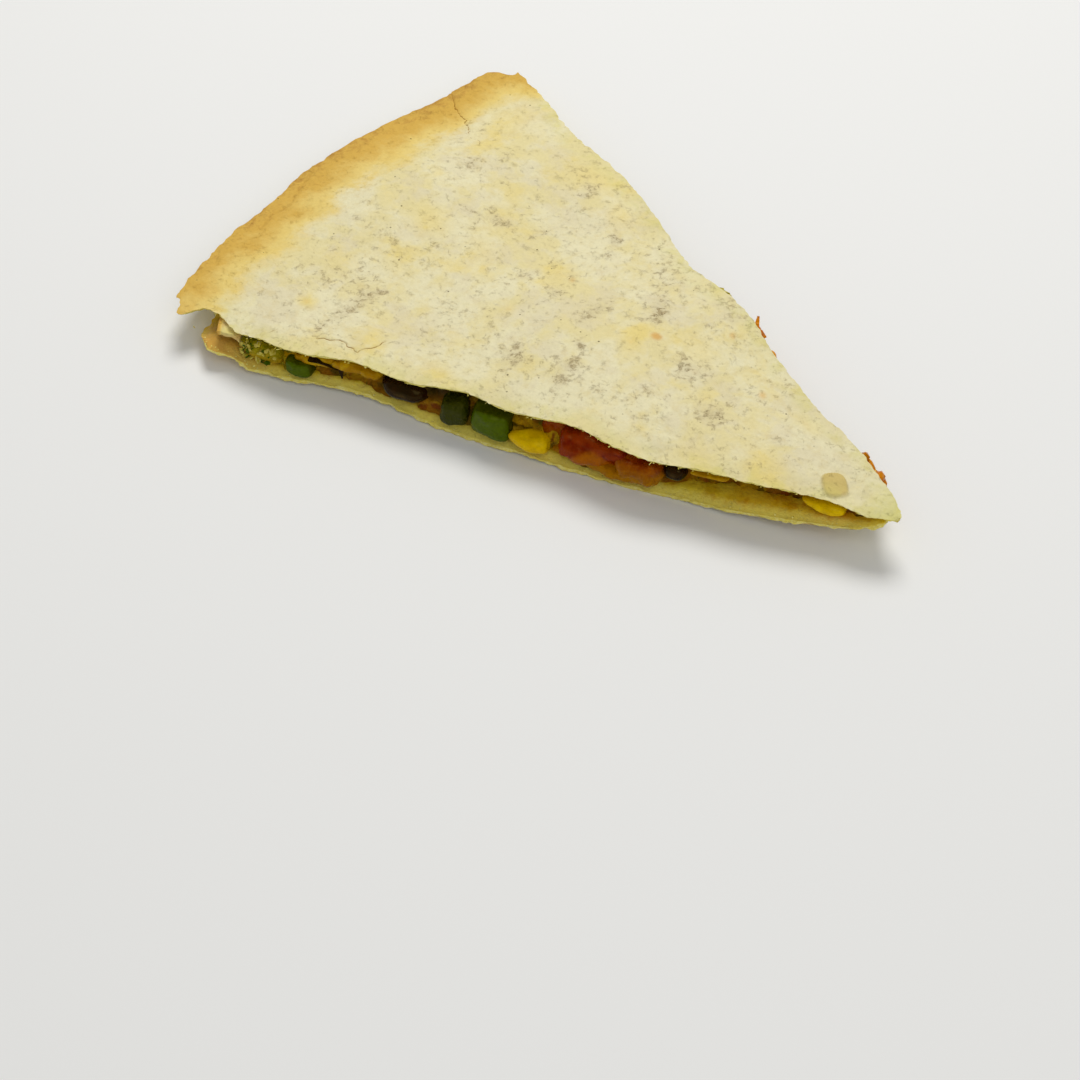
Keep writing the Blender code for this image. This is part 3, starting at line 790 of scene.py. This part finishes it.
def make_top_crust(material):
    bm, layers = flat_layer(
        CRUST_STEPS,
        CRUST_ROWS,
        lambda start, across: plan_point(start, across, top_cut, rim_reach, 0.0, CORNER_Y),
        CRUST_MARKS,
        CRACKS,
    )
    for vert in bm.verts:
        along, sideways = vert.co.x, vert.co.y
        depth = vert[layers["depth"]]
        raised, crack = top_relief(along, sideways)
        edge, rim = edge_marks(along, sideways, top_cut, rim_reach)
        high = top_high(along, sideways) + raised * MM * (1.0 - 0.3 * edge)
        low = top_low(along, sideways) + 0.12 * MM * grain(along, sideways, 4.0, 6.0)
        low += CUT_THIN * (high - low) * edge
        if depth < 0.5:
            vert[layers["crack"]] = crack
            vert[layers["bump"]] = bump_share(along, sideways)
            vert[layers["yellow"]] = stain(YELLOW_STAINS, along, sideways)
            # Painted shade: the first crease darkens the grey mark, for shade in the fold, beside the real grey stains.
            creased = 1.05 * math.exp(-((line_distance(CREASES[0], along / MM, sideways / MM) / 1.0) ** 2))
            vert[layers["grey"]] = max(creased, stain(GREY_STAINS, along, sideways))
            vert[layers["toast"]] = stain(TOAST_SPOTS, along, sideways)
        vert[layers["skin"]] = 1.0 - depth
        vert[layers["edge"]] = max(edge, 1.0 - smooth(1 * MM, 14 * MM, along))
        vert[layers["tip"]] = 1.0 - smooth(0.5 * MM, 9 * MM, along)
        vert[layers["rim"]] = rim
        lean = math.copysign(CUT_LEAN * edge * depth, sideways)
        vert.co = place(along, sideways - lean, high + (low - high) * depth)
    fray(bm, layers, 0.10, 0.32, 1.3, 3.0)
    fray(bm, layers, 0.0, 0.26, 3.2, 13.0)
    finish_mesh(bm, "top_crust", material, "tortilla_top")


def make_under_crust(material):
    bm, layers = flat_layer(
        CRUST_STEPS,
        CRUST_ROWS,
        lambda start, across: plan_point(
            start, across, under_cut, under_reach, UNDER_TIP, CORNER_Y - UNDER_RIM
        ),
        CRUST_MARKS,
    )
    for vert in bm.verts:
        along, sideways = vert.co.x, vert.co.y
        depth = vert[layers["depth"]]
        edge, rim = edge_marks(along, sideways, under_cut, under_reach)
        high = under_high(along, sideways) + 0.16 * MM * grain(along, sideways, 3.0, 11.0)
        raised = 0.16 + 0.16 * grain(along, sideways, 7.0, 5.0) + 0.08 * grain(along, sideways, 2.8, 8.0)
        low = under_low(along, sideways) + max(0.02, raised * (1.0 - 0.7 * edge)) * MM
        high -= 0.62 * (high - low) * edge ** 4
        vert[layers["skin"]] = depth
        vert[layers["edge"]] = edge
        vert[layers["rim"]] = rim
        from_corner = math.hypot(along - CORNER_AT[0], sideways - CORNER_AT[1])
        if depth < 0.5:
            vert[layers["brown"]] = hill(from_corner, 0.0, 9 * MM)
            vert[layers["oil"]] = 0.9 * hill(along, 11 * MM, 6 * MM) + 0.5 * hill(along, 25 * MM, 6 * MM)
            vert[layers["oil"]] += 0.9 * (1.0 - edge) * hill(along, 92 * MM, 7 * MM)
        vert.co = place(along, sideways, high + (low - high) * depth)
    fray(bm, layers, 0.12, 0.42, 1.3, 8.0)
    fray(bm, layers, 0.0, 0.40, 3.4, 12.0)
    finish_mesh(bm, "under_crust", material, "tortilla_bottom")


def make_filling(material):
    bm, layers = flat_layer(
        FILLING_STEPS,
        FILLING_ROWS,
        lambda start, across: plan_point(
            start, across, filling_cut, filling_reach, FILL_TIP, CORNER_Y - FILL_RIM / 2
        ),
        ("dark", "herbs"),
    )
    for vert in bm.verts:
        along, sideways = vert.co.x, vert.co.y
        depth = vert[layers["depth"]]
        high = top_low(along, sideways) + 0.05 * MM
        low = under_high(along, sideways) - 0.05 * MM
        front = 1.0 if sideways < 0 else 0.0
        # Painted shade: the dark mark darkens the front side round 91 and 102 mm along, and the upper part of every
        # side, where the top sheet shades it.
        shade = front * (hill(along, 91 * MM, 7 * MM) + 0.8 * hill(along, 102 * MM, 2.5 * MM))
        vert[layers["dark"]] = min(1.0, shade * smooth(0.75, 0.3, depth) + 0.55 * smooth(0.5, 0.1, depth))
        vert[layers["herbs"]] = front * hill(along, 121 * MM, 6 * MM)
        drawn = HOLLOW * (1.0 - depth) + front * TIP_HOLLOW * hill(along, 29 * MM, 11 * MM)
        sideways -= math.copysign(drawn * smooth(0.3, 1.0, abs(across_of(along, sideways))), sideways)
        vert.co = place(along, sideways, high + (low - high) * depth)
    fray(bm, layers, 0.3, 1.2, 3.6, 5.0)
    fray(bm, layers, 0.0, 0.3, 1.1, 7.0)
    finish_mesh(bm, "cheese_filling", material, "filling")


def seat(node):
    """Where a solid in the filling sits: its centre, its axes in line with the nearest cut, its sizes."""
    corners = [vert.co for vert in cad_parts[node].data.vertices]
    low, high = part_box(node)
    side = -1.0 if (low.y + high.y) / 2 < MIDDLE_Y else 1.0
    turn = Matrix.Rotation(-side * math.atan(CUT_SLOPE), 3, "Z")
    inside = [turn.inverted() @ corner for corner in corners]
    least = Vector([min(point[i] for point in inside) for i in range(3)])
    most = Vector([max(point[i] for point in inside) for i in range(3)])
    return turn @ ((least + most) / 2), turn, most - least, side


def rounded(bm, size, square, cuts, along_cuts=0):
    """A closed form between an egg and a block: a square of 2 gives an egg, and 8 a block."""
    bmesh.ops.create_cube(bm, size=1.0)
    bmesh.ops.subdivide_edges(bm, edges=bm.edges[:], cuts=cuts, use_grid_fill=True)
    if along_cuts:
        along = [edge for edge in bm.edges if abs(edge.verts[0].co.x - edge.verts[1].co.x) > 0.001]
        bmesh.ops.subdivide_edges(bm, edges=along, cuts=along_cuts, use_grid_fill=True)
    for vert in bm.verts:
        way = vert.co.normalized()
        reach = sum(abs(part) ** square for part in way) ** (-1.0 / square)
        vert.co = Vector([way[i] * reach * size[i] / 2 for i in range(3)])


def roughen(bm, amount, size, seed):
    """Moves a form's surface in and out. Lengths are in millimetres."""
    bm.normal_update()
    for vert in bm.verts:
        lump = noise.noise(vert.co / MM / size + Vector((seed, seed * 0.7, -seed)))
        vert.co += lump * amount * MM * vert.normal


def pepper(bm, size, tint, seed):
    """Diced pepper, smooth-skinned outside with paler flesh behind: a rounded, slightly bent block whose two broad
    sides take a shade of their own.
    """
    rounded(bm, size, 5.0, 12)
    for vert in bm.verts:
        x, y, z = vert.co.x / size[0], vert.co.y / size[1], vert.co.z / size[2]
        vert.co.y += 0.10 * size[1] * (x * x * 4.0 - 0.5)
        vert.co.x *= 1.0 - 0.16 * (z + 0.3)
        vert[tint] = smooth(0.30, 0.42, abs(y)) * 0.9
    roughen(bm, 0.55, 3.0, seed)
    roughen(bm, 0.12, 0.9, seed + 3.0)


def kernel(bm, size, tint, seed):
    """A corn kernel: a dimpled full crown, narrowing to the end that sat on the cob."""
    rounded(bm, size, 2.5, 12)
    for vert in bm.verts:
        x = vert.co.x / size[0]
        narrow = 1.0 - 0.40 * smooth(-0.1, 0.5, x)
        vert.co.y *= narrow
        vert.co.z *= narrow
        dimple = math.exp(-((vert.co.y / size[1]) ** 2 * 18 + (vert.co.z / size[2]) ** 2 * 26))
        vert.co.x += 0.10 * size[0] * dimple * smooth(-0.2, -0.5, x)
        vert[tint] = smooth(0.2, 0.5, x)
    roughen(bm, 0.16, 1.9, seed)


def bean(bm, size, tint, seed):
    """A bean: an egg bent like a kidney, with a pale scar in its hollow side."""
    rounded(bm, size, 2.2, 12)
    for vert in bm.verts:
        x, z = vert.co.x / size[0], vert.co.z / size[2]
        hollow = smooth(0.0, 0.5, -vert.co.y / size[1])
        vert.co.y += 0.30 * size[1] * (x * x * 2.0 - 0.15) + 0.10 * size[1] * hollow * hill(x, 0.0, 0.2)
        vert[tint] = hollow * hill(x, 0.0, 0.16) * hill(z, 0.0, 0.12)
    roughen(bm, 0.12, 2.2, seed)
    roughen(bm, 0.03, 0.7, seed + 2.0)


def tomato(bm, size, tint, seed):
    """Cooked tomato: a soft wet piece with folds where the skin has slackened."""
    rounded(bm, size, 3.6, 14)
    for vert in bm.verts:
        x, z = vert.co.x / size[0], vert.co.z / size[2]
        vert.co.y += 0.12 * size[1] * math.sin(5.0 * x + 1.0 + 2.0 * z)
        # Painted shade: the upper part keeps the darker reds and the lower part turns orange, as the top sheet shades
        # the top.
        vert[tint] = smooth(0.1, -0.4, z + 0.25 * math.sin(7.0 * x + seed))
    roughen(bm, 0.75, 2.8, seed)
    roughen(bm, 0.22, 1.1, seed + 5.0)


def meat(bm, size, tint, seed):
    """A torn shred with fibres along its length."""
    rounded(bm, size, 3.0, 14)
    for vert in bm.verts:
        round_it = math.atan2(vert.co.z / size[2], vert.co.y / size[1])
        fibre = math.sin(9.0 * round_it + 2.0 * math.sin(vert.co.x / (1.7 * MM)) + seed)
        vert.co.y *= 1.0 + 0.05 * fibre
        vert.co.z *= 1.0 + 0.05 * fibre
        vert[tint] = smooth(0.2, 1.0, fibre) * 0.7
    roughen(bm, 0.55, 2.0, seed)
    roughen(bm, 0.18, 0.8, seed + 4.0)


MORSELS = {
    "pepper": (pepper, "green_pepper"),
    "corn": (kernel, "sweetcorn"),
    "tomato": (tomato, "tomato"),
    "bean": (bean, "black_bean"),
    "meat": (meat, "sauced_meat"),
}


def make_morsels(finishes):
    """Every larger piece in the filling, in the place and room of its solid."""
    names = [name for name in sorted(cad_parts) if name.split("_")[0] in MORSELS]
    for number, node in enumerate(names):
        shape, slot = MORSELS[node.split("_")[0]]
        if node == "bean_brown":
            slot = "brown_bean"
        finish = finishes["dark_pepper" if node == "pepper_dark" else slot]
        centre, turn, size, side = seat(node)
        bm = bmesh.new()
        tint = bm.verts.layers.float.new("tint")
        shape(bm, size, tint, 1.7 + 2.3 * number)
        flip = Matrix.Rotation(math.pi if side > 0 else 0.0, 3, "Z")
        if node.startswith("corn"):
            flip = Matrix.Rotation(math.pi, 3, "Z") if side < 0 else Matrix.Identity(3)
        for vert in bm.verts:
            vert.co = centre + turn @ (flip @ vert.co)
        finish_mesh(bm, "dressed_" + node, finish, node)


# ---- Melted cheese and sauce that hang in the gap, and the small things at the cuts


def add_part(bm, part):
    """Adds a finished part to a bmesh that holds many of them."""
    mesh = bpy.data.meshes.new("part")
    part.to_mesh(mesh)
    part.free()
    bm.from_mesh(mesh)
    bpy.data.meshes.remove(mesh)


def many(names):
    """A bmesh that many parts go into, and the marks on its points."""
    bm = bmesh.new()
    return bm, new_layers(bm, names)


def in_gap(along, side, inset, share):
    """A place between the sheets, inset from the top one's cut. share is 0 at the bottom sheet, 1 at the top."""
    sideways = side * (top_cut(along, side) - inset)
    low = under_high(along, sideways)
    return place(along, sideways, low + share * (top_low(along, sideways) - low))


# Soft masses in the gap, in millimetres: the side, where each starts and ends, how far its middle is in
# from the cut, its depth, its lowest and highest level in the gap, and how lumpy it is
SAUCE = (
    (-1, 46.0, 63.0, 2.3, 4.0, 0.00, 0.34, 0.7),
    (-1, 60.0, 66.0, 4.4, 5.0, 0.20, 0.98, 0.9),
    (-1, 41.5, 50.5, 3.2, 4.2, 0.00, 0.78, 0.8),
    (1, 66.0, 81.0, 2.6, 4.4, 0.00, 0.50, 0.8),
    (1, 8.0, 15.0, 1.4, 3.0, 0.10, 0.80, 0.5),
    (1, 42.0, 52.0, 1.9, 3.6, 0.10, 0.70, 0.7),
)
DRIPS = (
    (-1, 97.5, 107.0, 2.2, 4.2, 0.60, 1.04, 0.8),
    (-1, 110.0, 119.0, 4.7, 4.4, 0.00, 0.84, 0.7),
    (-1, 103.0, 115.0, 3.4, 4.6, 0.50, 1.04, 0.8),
    (-1, 29.5, 36.0, 1.5, 2.0, 0.88, 1.02, 0.2),
    (1, 88.0, 104.0, 1.9, 4.2, 0.55, 1.04, 0.8),
    (1, 54.0, 68.0, 1.6, 3.8, -0.05, 0.30, 0.7),
    (1, 104.0, 122.0, 2.2, 4.6, 0.00, 0.50, 0.9),
    (1, 22.0, 38.0, 1.4, 3.4, 0.55, 1.02, 0.5),
)
GREENS = (
    (-1, 117.5, 125.5, 2.0, 4.2, 0.00, 0.86, 0.9),
    (-1, 122.5, 127.5, 2.4, 4.0, 0.05, 0.80, 0.9),
    (1, 118.0, 128.0, 2.4, 4.2, 0.10, 0.80, 0.8),
)


def make_masses(name, table, material, seed):
    bm, layers = many(("tint",))
    for number, (side, start, end, inset, depth, low, high, lumps) in enumerate(table):
        part = bmesh.new()
        tint = part.verts.layers.float.new("tint")
        rounded(part, Vector((1.0, 1.0, 1.0)), 3.0, 10, 2)
        for vert in part.verts:
            along = (start + (end - start) * (vert.co.x + 0.5)) * MM
            share = low + (high - low) * (vert.co.z + 0.5)
            # The tint mark grows towards the bottom of the gap; for the red sauce this leaves its upper part darker as
            # painted shade.
            vert[tint] = 1.0 - share
            vert.co = in_gap(along, side, (inset - depth * vert.co.y) * MM, share)
        bmesh.ops.recalc_face_normals(part, faces=part.faces)
        roughen(part, lumps, 2.9, seed + 1.7 * number)
        roughen(part, lumps * 0.3, 1.1, seed + 2.9 * number)
        add_part(bm, part)
    finish_mesh(bm, name, material)


def crumb(size, place_at, seed, flat=1.0):
    """A small irregular lump, which may be flattened to a leaf."""
    part = bmesh.new()
    bmesh.ops.create_icosphere(part, subdivisions=1, radius=0.5 * size * MM)
    turn = Matrix.Rotation(random.uniform(0, 6.28), 3, "Z") @ Matrix.Rotation(random.uniform(0, 3.14), 3, "X")
    for vert in part.verts:
        rag = 1.0 + 0.9 * noise.noise(vert.co / MM / size * 1.7 + Vector((seed, 0.0, 0.0)))
        vert.co = place_at + turn @ Vector((vert.co.x * rag * 1.25, vert.co.y * rag, vert.co.z * rag * flat))
    return part


def make_curds():
    """Curds and chopped herbs in the front corner, and a few more of them along the gap."""
    pale, pale_layers = many(("tint",))
    green, green_layers = many(("tint",))
    spots = [(-1, random.gauss(122.2, 2.0), random.uniform(-0.4, 1.2), random.uniform(0.1, 0.9)) for _ in range(70)]
    spots += [(1, random.uniform(22.0, 126.0), random.uniform(0.4, 1.9), random.uniform(0.05, 0.9)) for _ in range(110)]
    for number, (side, along, inset, share) in enumerate(spots):
        where = in_gap(along * MM, side, inset * MM, share)
        if number % 5 < (3 if along > 112.0 else 1):
            add_part(pale, crumb(random.uniform(0.35, 1.5), where, number, 0.7))
        else:
            add_part(green, crumb(random.uniform(0.4, 1.2), where, number, 0.22))
    curd = morsel_finish(
        "cheese_curd", colour(214, 200, 100), colour(176, 160, 40), colour(130, 130, 16), {}, 0.7, 0.3, 0.08
    )
    herb = morsel_finish(
        "chopped_herb", colour(52, 84, 8), colour(84, 104, 14), colour(30, 60, 30), {}, 0.8, 0.4, 0.08
    )
    for along, size in ((61.6, 1.9), (62.8, 2.7), (64.0, 1.8)):
        add_part(pale, crumb(size, in_gap(along * MM, 1, -1.1 * MM, 0.95), along, 0.7))
    finish_mesh(pale, "cheese_curds", curd)
    finish_mesh(green, "chopped_herbs", herb)


UP = Vector((0.0, 0.0, 1.0))


def fibre(length, thick, bend, start, way, up):
    """A thin tapering flake that starts at a place and curls as it goes."""
    part = bmesh.new()
    bmesh.ops.create_cube(part, size=1.0)
    run = [edge for edge in part.edges if abs(edge.verts[0].co.x - edge.verts[1].co.x) > 0.5]
    bmesh.ops.subdivide_edges(part, edges=run, cuts=3)
    across = way.cross(up).normalized()
    for vert in part.verts:
        share = vert.co.x + 0.5
        taper = 1.0 - 0.75 * share
        lift = bend * share * share * length
        vert.co = (
            start
            + way * (share * length * MM)
            + up * (lift * MM + vert.co.z * thick * taper * MM)
            + across * (vert.co.y * 2.2 * thick * taper + 0.25 * length * math.sin(4.0 * share) * bend) * MM
        )
    return part


def make_crumbs(material):
    """Flakes, fibres and crumbs along the torn edges of both sheets."""
    bm, layers = many(CRUST_MARKS)
    sheets = ((top_cut, top_low, top_high, 60), (under_cut, under_low, under_high, 110))
    number = 0
    for cut, low, high, count in sheets:
        for side in (-1, 1):
            for _ in range(count):
                number += 1
                along = random.uniform(4.0, 138.0) * MM
                sideways = side * (cut(along, side) - 0.25 * MM)
                level = random.uniform(0.5, 0.9)
                height = low(along, sideways) + level * (high(along, sideways) - low(along, sideways))
                start = place(along, sideways, max(height, 0.8 * MM))
                out = Vector((random.gauss(0.0, 0.9), side, random.gauss(0.0, 0.3))).normalized()
                if number % 3:
                    length = 0.2 + random.random() ** 8 * 1.6
                    part = fibre(length, random.uniform(0.06, 0.12), random.gauss(0.0, 0.3), start, out, UP)
                else:
                    part = crumb(random.uniform(0.18, 0.45), start + 0.1 * MM * out, number)
                add_part(bm, part)
    for vert in bm.verts:
        vert[layers["skin"]] = 0.4
    finish_mesh(bm, "crust_crumbs", material)


# Strands at the back: where each starts, its length and thickness, how it bends and which way it leans
STRANDS = (
    (51.0, 4.6, 0.8, 0.12, -0.45),
    (50.0, 2.6, 0.6, -0.15, 0.25),
    (13.5, 1.5, 0.4, 0.2, 0.4),
    (8.6, 1.6, 0.4, -0.3, -0.5),
    (16.0, 1.3, 0.34, 0.3, 0.9),
)


def make_shreds(material):
    """Small shreds of sauced meat that stick out at the back."""
    bm, layers = many(("tint",))
    for along, length, thick, bend, turn in STRANDS:
        start = in_gap(along * MM, 1, 0.4 * MM, 0.85)
        way = Vector((turn, 1.0, 0.3)).normalized()
        add_part(bm, fibre(length, thick, bend, start, way, UP))
    for along, size in ((50.3, 2.6), (51.2, 2.0), (14.6, 2.0), (9.8, 2.4)):
        add_part(bm, crumb(size, in_gap(along * MM, 1, -1.0 * MM, 0.95), along, 0.8))
    finish_mesh(bm, "meat_strands", material)


def make_bean_skins(material):
    bm, layers = many(("tint",))
    for along, length, share, way in ((111.0, 6.0, 0.90, (1.0, 0.30, -0.02)), (105.4, 2.6, 0.72, (0.2, 0.0, -1.0))):
        start = in_gap(along * MM, -1, 1.4 * MM, share)
        add_part(bm, fibre(length, 0.55, -0.1, start, Vector(way).normalized(), Vector((0.0, -0.5, 1.0)).normalized()))
    finish_mesh(bm, "bean_skins", material)


def make_flap(material):
    """A torn flap of crust that hangs in the notch at the front corner."""
    bm, layers = many(CRUST_MARKS)
    bmesh.ops.create_grid(bm, x_segments=24, y_segments=24, size=0.5)
    corners = ((133.6, -43.2, 7.4), (129.8, -48.2, 7.0), (125.2, -46.4, 7.2), (126.4, -44.0, 7.9))
    for vert in bm.verts:
        u, v = vert.co.x + 0.5, vert.co.y + 0.5
        spot = [
            (1 - u) * ((1 - v) * corners[0][i] + v * corners[1][i])
            + u * ((1 - v) * corners[3][i] + v * corners[2][i])
            for i in range(3)
        ]
        spot[2] += 0.5 * math.sin(3.0 * u + 0.5) * v
        ragged = 0.30 * grain(spot[0] * MM, spot[1] * MM, 1.1, 3.0)
        vert.co = (spot[0] * MM, (spot[1] + ragged * v) * MM, (spot[2] + ragged) * MM)
        vert[layers["rim"]] = 1.1 * (1.0 - smooth(0.0, 0.34, u))
        vert[layers["yellow"]] = 1.0
        vert[layers["edge"]] = 0.8
    drawn = bmesh.ops.extrude_face_region(bm, geom=bm.faces[:])
    for item in drawn["geom"]:
        if isinstance(item, bmesh.types.BMVert):
            item.co.z -= 0.9 * MM
    for vert in bm.verts:
        vert[layers["skin"]] = 1.0
        vert.co = place(*vert.co)
    finish_mesh(bm, "torn_flap", material)


# ---- The setting: floor, light and camera


def make_floor():
    bm = bmesh.new()
    bmesh.ops.create_grid(bm, x_segments=1, y_segments=1, size=1.5)
    mesh = bpy.data.meshes.new("floor")
    bm.to_mesh(mesh)
    bm.free()
    paper = Finish("pale_floor", {"Roughness": 0.9, "Specular IOR Level": 0.1})
    paper.shader.inputs["Base Color"].default_value = colour(236, 236, 234)
    mesh.materials.append(paper.material)
    floor = bpy.data.objects.new("floor", mesh)
    bpy.context.scene.collection.objects.link(floor)


def add_lamp(name, where, size, power, tint):
    lamp = bpy.data.lights.new(name, "AREA")
    lamp.shape = "DISK"
    lamp.size = size
    lamp.energy = power
    lamp.color = tint
    item = bpy.data.objects.new(name, lamp)
    item.location = where
    item.rotation_euler = (-Vector(where)).to_track_quat("-Z", "Y").to_euler()
    bpy.context.scene.collection.objects.link(item)


def set_the_light():
    world = bpy.data.worlds.new("studio")
    world.use_nodes = True
    world.node_tree.nodes["Background"].inputs["Color"].default_value = (1.0, 1.0, 1.0, 1.0)
    world.node_tree.nodes["Background"].inputs["Strength"].default_value = 0.36
    bpy.context.scene.world = world
    add_lamp("key", (-0.25, 0.35, 0.75), 0.45, 4.6, (1.0, 0.99, 0.97))
    add_lamp("fill", (0.45, -0.35, 0.60), 0.60, 1.2, (1.0, 1.0, 1.0))
    bpy.context.scene.view_settings.view_transform = "Standard"


def add_camera():
    """The camera looks down at the slice past its tip."""
    right = Vector((0.74462, 0.66696, 0.02647))
    back = Vector((0.45314, -0.53423, 0.71362))
    up = back.cross(right).normalized()
    right = up.cross(back).normalized()
    camera = bpy.data.objects.new("camera", bpy.data.cameras.new("camera"))
    camera.data.lens = 92.49
    camera.data.sensor_width = 36.0
    camera.data.clip_start = 0.01
    camera.matrix_world = Matrix.Translation((0.26014, -0.31994, 0.36740)) @ (
        Matrix((right, up, back.normalized())).transposed().to_4x4()
    )
    bpy.context.scene.collection.objects.link(camera)
    bpy.context.scene.camera = camera


def main():
    random.seed(7)
    add_camera()
    make_floor()
    set_the_light()
    crust = crust_finish("baked_crust", CRUST_SHADES, 0.0)
    under = crust_finish("baked_crust_under", CRUST_SHADES, 0.75)
    make_top_crust(crust)
    make_under_crust(under)
    make_filling(filling_finish())
    finishes = {
        "green_pepper": morsel_finish(
            "green_pepper", colour(52, 62, 0), colour(70, 76, 0), colour(72, 92, 0), {}, 2.4, 0.2
        ),
        "dark_pepper": morsel_finish(
            "dark_pepper", colour(34, 38, 2), colour(54, 58, 2), colour(48, 54, 4), {}, 1.8, 0.2, 0.4
        ),
        "sweetcorn": morsel_finish(
            "sweetcorn", colour(216, 176, 0), colour(230, 192, 0), colour(212, 170, 4), {}, 2.4, 0.22, 0.1
        ),
        # Dark red to orange: the darker reds on the upper part are painted shade.
        "tomato": morsel_finish(
            "cooked_tomato", colour(112, 16, 0), colour(138, 44, 0), colour(164, 88, 0), {}, 3.0, 0.1
        ),
        "brown_bean": morsel_finish(
            "brown_bean", colour(160, 100, 0), colour(176, 120, 2), colour(196, 156, 30), {}, 2.4, 0.2, 0.1
        ),
        "black_bean": morsel_finish(
            "black_bean", colour(26, 11, 2), colour(40, 18, 4), colour(60, 42, 14), {}, 2.6, 0.18, 0.08
        ),
        "sauced_meat": morsel_finish(
            "sauced_meat", colour(208, 128, 0), colour(192, 104, 0), colour(226, 156, 6), {}, 1.8, 0.26
        ),
    }
    make_morsels(finishes)
    # Dark red at the top of each mass and orange below, through the tint mark: painted shade under the top sheet.
    sauce = morsel_finish(
        "red_sauce", colour(126, 36, 0), colour(150, 68, 0), colour(164, 110, 0), {}, 2.6, 0.1, 0.3
    )
    drip = morsel_finish(
        "cheese_drip", colour(188, 150, 4), colour(164, 118, 0), colour(156, 112, 0), {}, 2.6, 0.22, 0.2
    )
    greens = morsel_finish(
        "green_paste", colour(172, 156, 20), colour(136, 134, 8), colour(170, 130, 14), {}, 1.6, 0.3, 0.4
    )
    make_masses("sauce_masses", SAUCE, sauce, 3.0)
    make_masses("cheese_drips", DRIPS, drip, 9.0)
    make_masses("green_masses", GREENS, greens, 6.0)
    make_curds()
    make_crumbs(crust)
    make_shreds(finishes["sauced_meat"])
    make_bean_skins(finishes["black_bean"])
    make_flap(under)


main()
